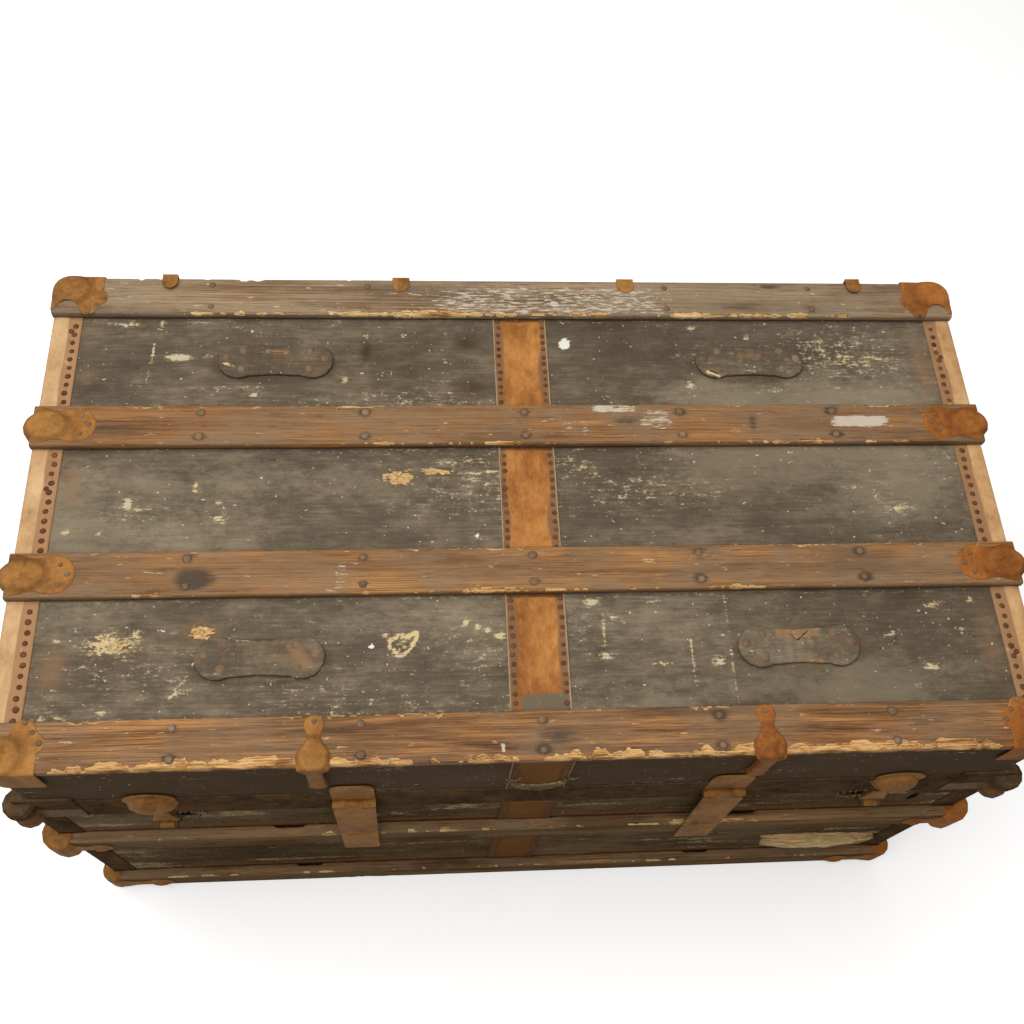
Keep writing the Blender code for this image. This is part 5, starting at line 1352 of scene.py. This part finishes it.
def makeEndBindings():
    for name, side in (("left", -1), ("right", 1)):
        low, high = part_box(f"end_binding_{name}")
        shape = bmesh.new()
        shape.faces.new([shape.verts.new((side * x, low.y, z)) for x, z in bindingSection()])
        drawOut(shape, (0, high.y - low.y, 0), binding["steps"])
        piece = pieceFrom(shape, f"endLeather_{name}", finishes["hide" if side < 0 else "hideWorn"])
        sharpen(piece)
        points = pointsOf(piece)
        out = np.abs(points[:, 0])
        onTop = points[:, 2] > binding["top"] - 0.0008
        # the outer part is stuffed and swells a little, the inner part is tacked flat
        swell = hump(out, binding["swellX"], binding["swellReach"])
        swell *= 1 + 0.5 * grain(points, (30, 24, 30), 5 + side)
        points[:, 2] += onTop * (binding["swell"] * swell - binding["press"] * (out < binding["line"]))
        setPoints(piece, points)
        line = binding["line"] + 0.0012 * grain(points * [0, 1, 0], (1, 60, 1), 2)
        dirt = np.clip(0.5 + grain(points, (60, 26, 30), 9 + side), 0, 1.2)
        dirt *= 1 - smoothStep(0.444, 0.453, out)
        paint(piece, "edge", 1.0 - smoothStep(line - 0.001, line + 0.0015, out))
        paint(piece, "stain", 0.75 * hump(points[:, 2], binding["bottom"], 0.004) + 0.34 * dirt)
        place(piece, "lid", "leather", f"end_binding_{name}")
        tacks = []
        chance = np.random.default_rng(11 + side)
        for y in np.arange(-0.234, 0.2345, binding["tackGap"]):
            if clearOfSlats(y, 0.0245):
                x = side * (binding["tackX"] + chance.uniform(-0.0008, 0.0008))
                tacks.append((x, y, binding["tackZ"]))
        # a second, older row here and there
        old = [y + 0.004 for _, y, _ in tacks if chance.uniform() < 0.12]
        studs(f"endTacks_{name}", tacks + [(side * binding["oldTackX"], y, binding["tackZ"]) for y in old])


def clearOfSlats(y, reach):
    return all(abs(y - row) >= reach for row in rows.values())


band = {
    "left": -0.0235,
    "right": 0.0305,
    "low": 0.4016,
    "high": 0.4963,
    "reach": 0.2508,
    "thick": 0.001,
    "bend": 0.0015,
    "cell": 0.0035,
    "tackX": (-0.0187, 0.0262),
    "tackZ": 0.4962,
    "tackY": -0.2507,
    "tackGap": 0.0088,
    "frontGap": 0.0095,
    "midSlat": (0.22, 0.272),
}
# on the front the fibre shows through in patches only, as x, z, half width, half height and strength
bandPatches = [
    (0.0, 0.482, 0.03, 0.016, 1.0), (0.002, 0.44, 0.02, 0.018, 0.42), (-0.004, 0.318, 0.027, 0.022, 1.0),
    (-0.002, 0.275, 0.026, 0.02, 1.0), (-0.003, 0.1, 0.024, 0.052, 1.0),
]
bandOverpainted = [(0.007, -0.1985, 0.0215, 0.0085, 1.0)]


def paintBand(piece):
    points = pointsOf(piece)
    left, right = band["left"], band["right"]
    away = np.abs(points[:, 0] - (left + right) / 2) / ((right - left) / 2)
    wave = grain(points, (40, 30, 40), 6)
    onTop = points[:, 2] > 0.4955
    onLid = points[:, 2] > 0.4
    paint(piece, "edge", smoothStep(0.52, 0.85, away + 0.14 * wave))
    paint(piece, "rim", 0.95 * smoothStep(0.9, 0.97, away) * onLid)
    paint(piece, "painted", smearLevel(points, bandOverpainted) * onTop * (0.8 + 0.4 * wave))
    stain = 0.8 * np.clip(grain(points, (30, 16, 30), 9) - 0.25, 0, 1)
    # darker close to each slat
    for row in rows.values():
        stain = np.maximum(stain, 0.8 * hump(np.abs(points[:, 1] - row), 0.022, 0.004))
    dark = 0.95 - 0.95 * smoothStep(0.25, 0.55, spotLevel(points, bandPatches, (0, 2)))
    dark += 0.8 * hump(points[:, 2], 0.297, 0.004) * ~onLid
    paint(piece, "stain", np.maximum(stain, np.where(onTop, 0, np.clip(dark, 0, 1))))


def makeCentreBands():
    left, right, low, high = band["left"], band["right"], band["low"], band["high"]
    reach, thick, bend = band["reach"], band["thick"], band["bend"]
    shape = bmesh.new()
    outline = [(-reach, low), (-reach, high - bend), (-reach + bend, high), (reach - bend, high)]
    outline += [(reach, high - bend), (reach, low), (reach - thick, low), (reach - thick, high - thick)]
    outline += [(-reach + thick, high - thick), (-reach + thick, low)]
    shape.faces.new([shape.verts.new((left, y, z)) for y, z in outline])
    for edge in [e for e in shape.edges if e.calc_length() > 0.01]:
        bmesh.ops.subdivide_edges(shape, edges=[edge], cuts=round(edge.calc_length() / band["cell"]))
    drawOut(shape, (right - left, 0, 0), 20)
    piece = pieceFrom(shape, "lidBand", finishes["band"])
    sharpen(piece)
    paintBand(piece)
    # the front faces take the brighter front copy of the fibre colour: painted light
    piece.data.materials.append(finishes["bandFront"])
    for face in piece.data.polygons:
        face.material_index = int(face.center.y < -reach + 0.0004 and face.center.z < high - 0.001)
    place(piece, "lid", "band_fibre", "centre_band_lid")

    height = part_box("centre_band_body")[1].z
    shape = loopOf(right - left, thick, 0.0003, 0.003)
    bmesh.ops.translate(shape, vec=((left + right) / 2, -reach + thick / 2, 0), verts=shape.verts)
    drawOut(shape, (0, 0, height), 90)
    # the body's band is all front face and takes the brighter front copy of the fibre colour: painted light
    piece = pieceFrom(shape, "bodyBand", finishes["bandFront"])
    paintBand(piece)
    place(piece, "body", "band_fibre", "centre_band_body")

    chance = np.random.default_rng(21)
    tacks = []
    for x in band["tackX"]:
        for y in np.arange(-0.243, 0.246, band["tackGap"]):
            if clearOfSlats(y, 0.0235):
                moved = x + chance.uniform(-0.0007, 0.0007)
                tacks.append((moved, y + chance.uniform(-0.001, 0.001), band["tackZ"]))
    studs("bandTacks", tacks)
    low, high = band["midSlat"]
    onLid = np.arange(0.41, 0.492, band["frontGap"])
    onBody = [z for z in np.arange(0.052, 0.34, band["frontGap"]) if not low < z < high]
    for name, heights in (("bandTacksFront", onLid), ("bodyBandTacks", onBody)):
        studs(name, [(x, band["tackY"], z) for x in band["tackX"] for z in heights])


# nails

# slat: x from the lid's middle, y from the slat's; corner and edge: both from the lid's middle
clampNails = {
    "z": 0.5058,
    "slat": ((0.4165, 0.0092), (0.4094, 0.0), (0.4165, -0.01)),
    "corner": ((0.4126, 0.2262), (0.4262, 0.2085), (0.419, 0.2172)),
    "edge": ((-0.19, -0.2135), (0.198, -0.2135)),
}
# the nails in the body's front clamps, as x and height
legNails = {"y": -0.2632, "mid": (0.4235, 0.246), "bottom": (0.41, 0.022)}


def makeNails():
    top = slatBuild["lidTop"]
    studs("slatNails", [(x, y, top) for row in ("second", "third", "front") for x, y in nailPairs(row)])
    studs("rearNails", [(x, y, top) for x, y in nailPairs("rear") if abs(x) > 0.05])
    small = []
    for side in (-1, 1):
        for row in ("second", "third"):
            small += [(side * x, rows[row] + y) for x, y in clampNails["slat"]]
        for end in (-1, 1):
            small += [(side * x, end * y) for x, y in clampNails["corner"]]
    small += clampNails["edge"]
    studs("clampNails", [(x, y, clampNails["z"]) for x, y in small])
    feet = [(side * x, z) for x, z in (legNails["mid"], legNails["bottom"]) for side in (-1, 1)]
    studs("legNails", [(x, legNails["y"], z) for x, z in feet])
    print("bindings and nails")


# iron: clamps, caps and corner knobs

# the cell size of each kind of plate, and where its dome is and how far it reaches
clamps = {
    "slat": {"voxel": 0.0009, "x": 0.449, "dome": (0.0205, 0.0158)},
    "cap": {"voxel": 0.0008, "x": 0.4475, "y": 0.237, "dome": (0.0215, 0.0185)},
    "edge": {"voxel": 0.0008, "left": -0.19, "right": 0.198, "y": -0.243, "dome": (0.0135, 0.0165)},
    "leg": {"voxel": 0.001, "rounds": 4},
    "rim": {"voxel": 0.0009},
    "lower": 0.0028,
}


def domed(name, finish, kind, x, y, seed):
    dome = (x, y, *clamps[kind]["dome"])
    pressed(name, finish, "lid", clamps[kind]["voxel"], domes=[dome], lower=clamps["lower"], seed=seed)


def makeClamps():
    slat, cap, edge, leg, rim = (clamps[kind] for kind in ("slat", "cap", "edge", "leg", "rim"))
    for side, name, finish in ((-1, "left", "iron"), (1, "right", "ironOrange")):
        for number, row in enumerate(("second", "third")):
            domed(f"slat_clamp_{row}_{name}", finish, "slat", side * slat["x"], rows[row], side * 3 + number)
        for end, endName in ((-1, "front"), (1, "back")):
            corner = f"{endName}_{name}"
            domed(f"corner_cap_{corner}", finish, "cap", side * cap["x"], end * cap["y"], side * 5 + end)
            for prefix in ("mid", "bottom"):
                pressed(f"{prefix}_clamp_{corner}", finish, "body", **leg, seed=side * 7 + end)
            pressed(f"rim_corner_{corner}", "ironBrown", "body", **rim, seed=side * 9 + end)
        domed(f"edge_clamp_{name}", finish, "edge", edge[name], edge["y"], side * 11.0)
    print("clamps")


def makeBoards():
    boarded = {"bottom_board": "body", "lid_top_board": "lid", "body_frame": "body", "lid_frame": "lid"}
    for name, body in boarded.items():
        walls = name.endswith("frame")
        finish = finishes["wallBoard" if walls else "flatBoard"]
        piece = pieceFrom(shapeOf(name), name + "_planks", finish, smooth=False)
        if walls:
            piece.data.materials.append(finishes["endBoard"])
            for face in piece.data.polygons:
                face.material_index = int(abs(face.normal.x) > 0.7)
        place(piece, body, "bare_board", name)


handle = {
    "z": 0.3065,
    "voxel": 0.0011,
    "dents": 0.0004,
    "capSize": (0.011, 0.0397, 0.0354),
    "capX": 0.466,
    "capY": 0.0823,
    "capRound": 0.0022,
    "rivetX": 0.4715,
    "rivets": ((0.069, 0.0), (0.094, 0.01), (0.094, -0.01)),
}


def makeHandles():
    middle = handle["z"]
    for name, side in (("left", -1), ("right", 1)):
        piece = pressed(
            f"handle_{name}", "handle", "body", handle["voxel"], "handle_leather",
            dents=handle["dents"], seed=side * 13.0,
        )
        points = pointsOf(piece)
        away = np.abs(points[:, 2] - middle) + 0.003 * grain(points, (50, 50, 50), 3)
        paint(piece, "edge", 0.9 * smoothStep(0.0085, 0.0135, away))
        paint(piece, "stain", 0.6 * hump(np.abs(points[:, 1]), 0.06, 0.006))
        # a folded iron plate over each foot
        shape = bmesh.new()
        rivets = []
        for end in (-1, 1):
            block(shape, handle["capSize"], (side * handle["capX"], end * handle["capY"], middle))
            rivets += [(side * handle["rivetX"], end * y, middle + z) for y, z in handle["rivets"]]
        softEdges(shape, list(shape.edges), handle["capRound"], 3)
        outward(shape)
        place(pieceFrom(shape, f"handleCaps_{name}", finishes["iron"]), "body", "rusty_iron")
        studs(f"handleRivets_{name}", rivets)


hingeNails = {
    "middles": (-0.349, 0.36),
    "lidY": 0.2533,
    "lid": ((-0.011, 0.398), (0.011, 0.398), (0.0, 0.434), (0.0, 0.468), (0.0, 0.492)),
    "bodyY": 0.2526,
    "body": ((-0.011, 0.358), (0.011, 0.358), (0.0, 0.334)),
}


def makeHingeNails():
    for body, name in (("lid", "hingeNailsLid"), ("body", "hingeNailsBody")):
        y = hingeNails[f"{body}Y"]
        studs(name, [(middle + x, y, z) for middle in hingeNails["middles"] for x, z in hingeNails[body]])


# small things: tabs at the back, a splintered board, torn cloth

tabs = {
    "middles": (-0.117, 0.116),
    "half": 0.0088,
    "archY": 0.2445,
    "backY": 0.2526,
    "lift": 0.0001,
    "thick": 0.0012,
    "drop": 0.0165,
    "dropMiddle": 0.007,
    "nailY": 0.244,
    "nailUp": 0.0011,
    "round": 0.0004,
}


def makeTabs():
    shape = bmesh.new()
    top, half, back = slatBuild["lidTop"], tabs["half"], tabs["backY"]
    flat = top + tabs["lift"]
    for x in tabs["middles"]:
        angles = np.linspace(math.pi, 2 * math.pi, 13)
        outline = [(x + half * math.cos(a), tabs["archY"] + half * math.sin(a), flat) for a in angles]
        outline += [(x + half, back, flat), (x - half, back, flat)]
        raisedPlate(shape, outline, (0, 0, tabs["thick"]))
        block(shape, (2 * half, tabs["thick"], tabs["drop"]), (x, back, top - tabs["dropMiddle"]))
    outward(shape)
    softEdges(shape, [e for e in shape.edges if e.calc_face_angle(0) > 0.5], tabs["round"], 2)
    piece = pieceFrom(shape, "rearTabs", finishes["iron"])
    sharpen(piece)
    place(piece, "lid", "rusty_iron")
    studs("tabNails", [(x, tabs["nailY"], top + tabs["nailUp"]) for x in tabs["middles"]])


def strand(shape, path, radius, sides=5):
    # a tapering tube along the path
    rings = []
    last = len(path) - 1
    for number, spot in enumerate(path):
        ahead = Vector(path[min(number + 1, last)]) - Vector(path[max(number - 1, 0)])
        turn = ahead.to_track_quat("Z", "Y")
        size = radius * (0.35 + 0.65 * math.sin(math.pi * (0.12 + 0.76 * number / last)))
        ring = []
        for k in range(sides):
            angle = 2 * math.pi * k / sides
            out = turn @ Vector((size * math.cos(angle), size * math.sin(angle), 0))
            ring.append(shape.verts.new(Vector(spot) + out))
        rings.append(ring)
    for low, high in zip(rings, rings[1:]):
        for k in range(sides):
            shape.faces.new((low[k], low[(k + 1) % sides], high[(k + 1) % sides], high[k]))
    shape.faces.new(list(reversed(rings[0])))
    shape.faces.new(rings[-1])


# the bundle of fibres low at the front right
splinters = {
    "count": 84,
    "startX": 0.29,
    "endX": 0.43,
    "endSpread": 0.014,
    "z": 0.114,
    "fall": 0.008,
    "high": 0.015,
    "out": 0.0105,
    "y": -0.2505,
    "backY": -0.25,
    "splayShare": 0.3,
    "splay": 0.03,
    "radius": (0.001, 0.0024),
}


def makeSplinters():
    chance = np.random.default_rng(51)
    shape = bmesh.new()
    for _ in range(splinters["count"]):
        # each fibre runs along the break, bulging out of the face
        angle = chance.uniform(-0.4, 1.9)
        startX = splinters["startX"] + abs(chance.normal(0, splinters["endSpread"]))
        endX = splinters["endX"] - abs(chance.normal(0, splinters["endSpread"]))
        splay = chance.uniform() < splinters["splayShare"]
        path = []
        for share in np.linspace(0, 1, 11):
            x = startX + (endX - startX) * share
            swell = math.sin(math.pi * min(1, 0.15 + 0.8 * share)) ** 0.6
            z = splinters["z"] - splinters["fall"] * share + splinters["high"] * math.sin(angle) * swell
            z += chance.normal(0, 0.0006)
            y = splinters["y"] - splinters["out"] * max(0.05, math.cos(angle)) * swell
            y += chance.normal(0, 0.0005)
            if splay:
                z -= splinters["splay"] * max(0, share - 0.8) * 5 * chance.uniform(0.4, 1.0)
            path.append((x, min(y, splinters["backY"]), z))
        strand(shape, path, chance.uniform(*splinters["radius"]))
    outward(shape)
    piece = pieceFrom(shape, "brokenBoard", finishes["splinter"])
    # some fibres darker than the rest: painted shade between the strands along with their own tone
    fibres = grain(pointsOf(piece), (14, 380, 460), 4)
    paint(piece, "foot", 0.8 * np.clip(0.05 + 1.1 * fibres, 0, 1))
    place(piece, "body", "slat_wood")


# the raised lip under the hollow at the middle of the lid's front, with loose threads at both ends
lip = {
    "x": 0.004,
    "y": -0.2509,
    "out": 0.0022,
    # half width, middle height and half height of its two arches
    "outer": (0.0262, 0.44, 0.04),
    "inner": (0.0235, 0.442, 0.023),
    "round": 0.0007,
    "threadY": -0.2515,
    "threads": ((0.03, 0.441, 7), (-0.0215, 0.441, 4)),
    "threadRadius": 0.0005,
}
# frayed edges round the holes beside the two draw bolts
fray = {
    "holes": (("left", -0.323, 0.338), ("right", 0.329, 0.34)),
    "count": 34,
    "reachX": 0.019,
    "reachZ": 0.013,
    "y": -0.2502,
    "lying": 0.001,
    "standing": 0.0022,
    "radius": 0.00055,
}


def thread(shape, start, wayX, wayZ, rise, bend, radius):
    path = []
    for k in range(5):
        path.append((start[0] + wayX * k / 4, start[1] - rise * math.sin(k * bend), start[2] + wayZ * k / 4))
    strand(shape, path, radius, 4)


def makeTornCloth():
    shape = bmesh.new()
    angles = np.linspace(math.pi * 1.02, math.pi * 1.98, 41)
    outline = []
    for way, (reachX, middleZ, reachZ) in ((1, lip["outer"]), (-1, lip["inner"])):
        for a in angles[::way]:
            outline.append((lip["x"] + reachX * math.cos(a), lip["y"], middleZ + reachZ * math.sin(a)))
    raisedPlate(shape, outline, (0, -lip["out"], 0))
    outward(shape)
    softEdges(shape, [e for e in shape.edges if e.calc_face_angle(0) > 0.9], lip["round"], 2)
    chance = np.random.default_rng(61)
    for x, z, count in lip["threads"]:
        for _ in range(count):
            wayX, wayZ = chance.uniform(-0.006, 0.01), chance.uniform(-0.012, 0.006)
            thread(shape, (x, lip["threadY"], z), wayX, wayZ, lip["out"], 0.8, lip["threadRadius"])
    piece = pieceFrom(shape, "tornLip", finishes["canvasDark"])
    sharpen(piece)
    paint(piece, "scuffAndHighlight", 0.45 + 0.3 * grain(pointsOf(piece), (90, 90, 200), 3))
    place(piece, "lid", "canvas")

    shape = bmesh.new()
    for name, x, z in fray["holes"]:
        low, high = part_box(f"drawbolt_lever_{name}")
        for _ in range(fray["count"]):
            a = chance.uniform(0, 2 * math.pi)
            reach = chance.uniform(0.4, 1.25)
            start = (x + fray["reachX"] * math.cos(a), fray["y"], z + fray["reachZ"] * math.sin(a))
            wayX, wayZ = 0.006 * reach * math.cos(a + 2.6), 0.008 * reach * math.sin(a + 2.6)
            # the threads lie flat under the lever and stand off beside it
            ends = sorted((start[0], start[0] + wayX))
            under = ends[0] < high.x + 0.001 and ends[1] > low.x - 0.001
            thread(shape, start, wayX, wayZ, fray["lying" if under else "standing"], 0.75, fray["radius"])
    outward(shape)
    piece = pieceFrom(shape, "frayedCloth", finishes["canvasDark"])
    paint(piece, "scuffAndHighlight", 0.35 + 0.4 * grain(pointsOf(piece), (150, 150, 150), 3))
    place(piece, "body", "canvas")
    print("small things")


# everything in order

# the finish of each kind of material where a solid is shown as it is
nodeFinishes = {
    "bare_board": "wallBoard", "canvas": "canvas", "slat_wood": "slatX", "rusty_iron": "iron",
    "leather": "hide", "band_fibre": "band", "handle_leather": "handle",
}
slotOf = {part["node"]: part["material_slot"] for part in frame["record"]["subparts"]}

makeCamera()
makeStage()
for nodeName, node in frame["nodes"].items():
    chosen = "ironDark" if nodeName in ("lid_binding", "body_binding") else nodeFinishes[slotOf[nodeName]]
    node.data.materials.clear()
    node.data.materials.append(finishes[chosen])
makeSlats()
makeLidCover()
makePads()
makeBodyCover()
makeEndBindings()
makeCentreBands()
makeNails()
makeClamps()
makeBoards()
makeHandles()
makeHingeNails()
makeTabs()
makeSplinters()
makeTornCloth()
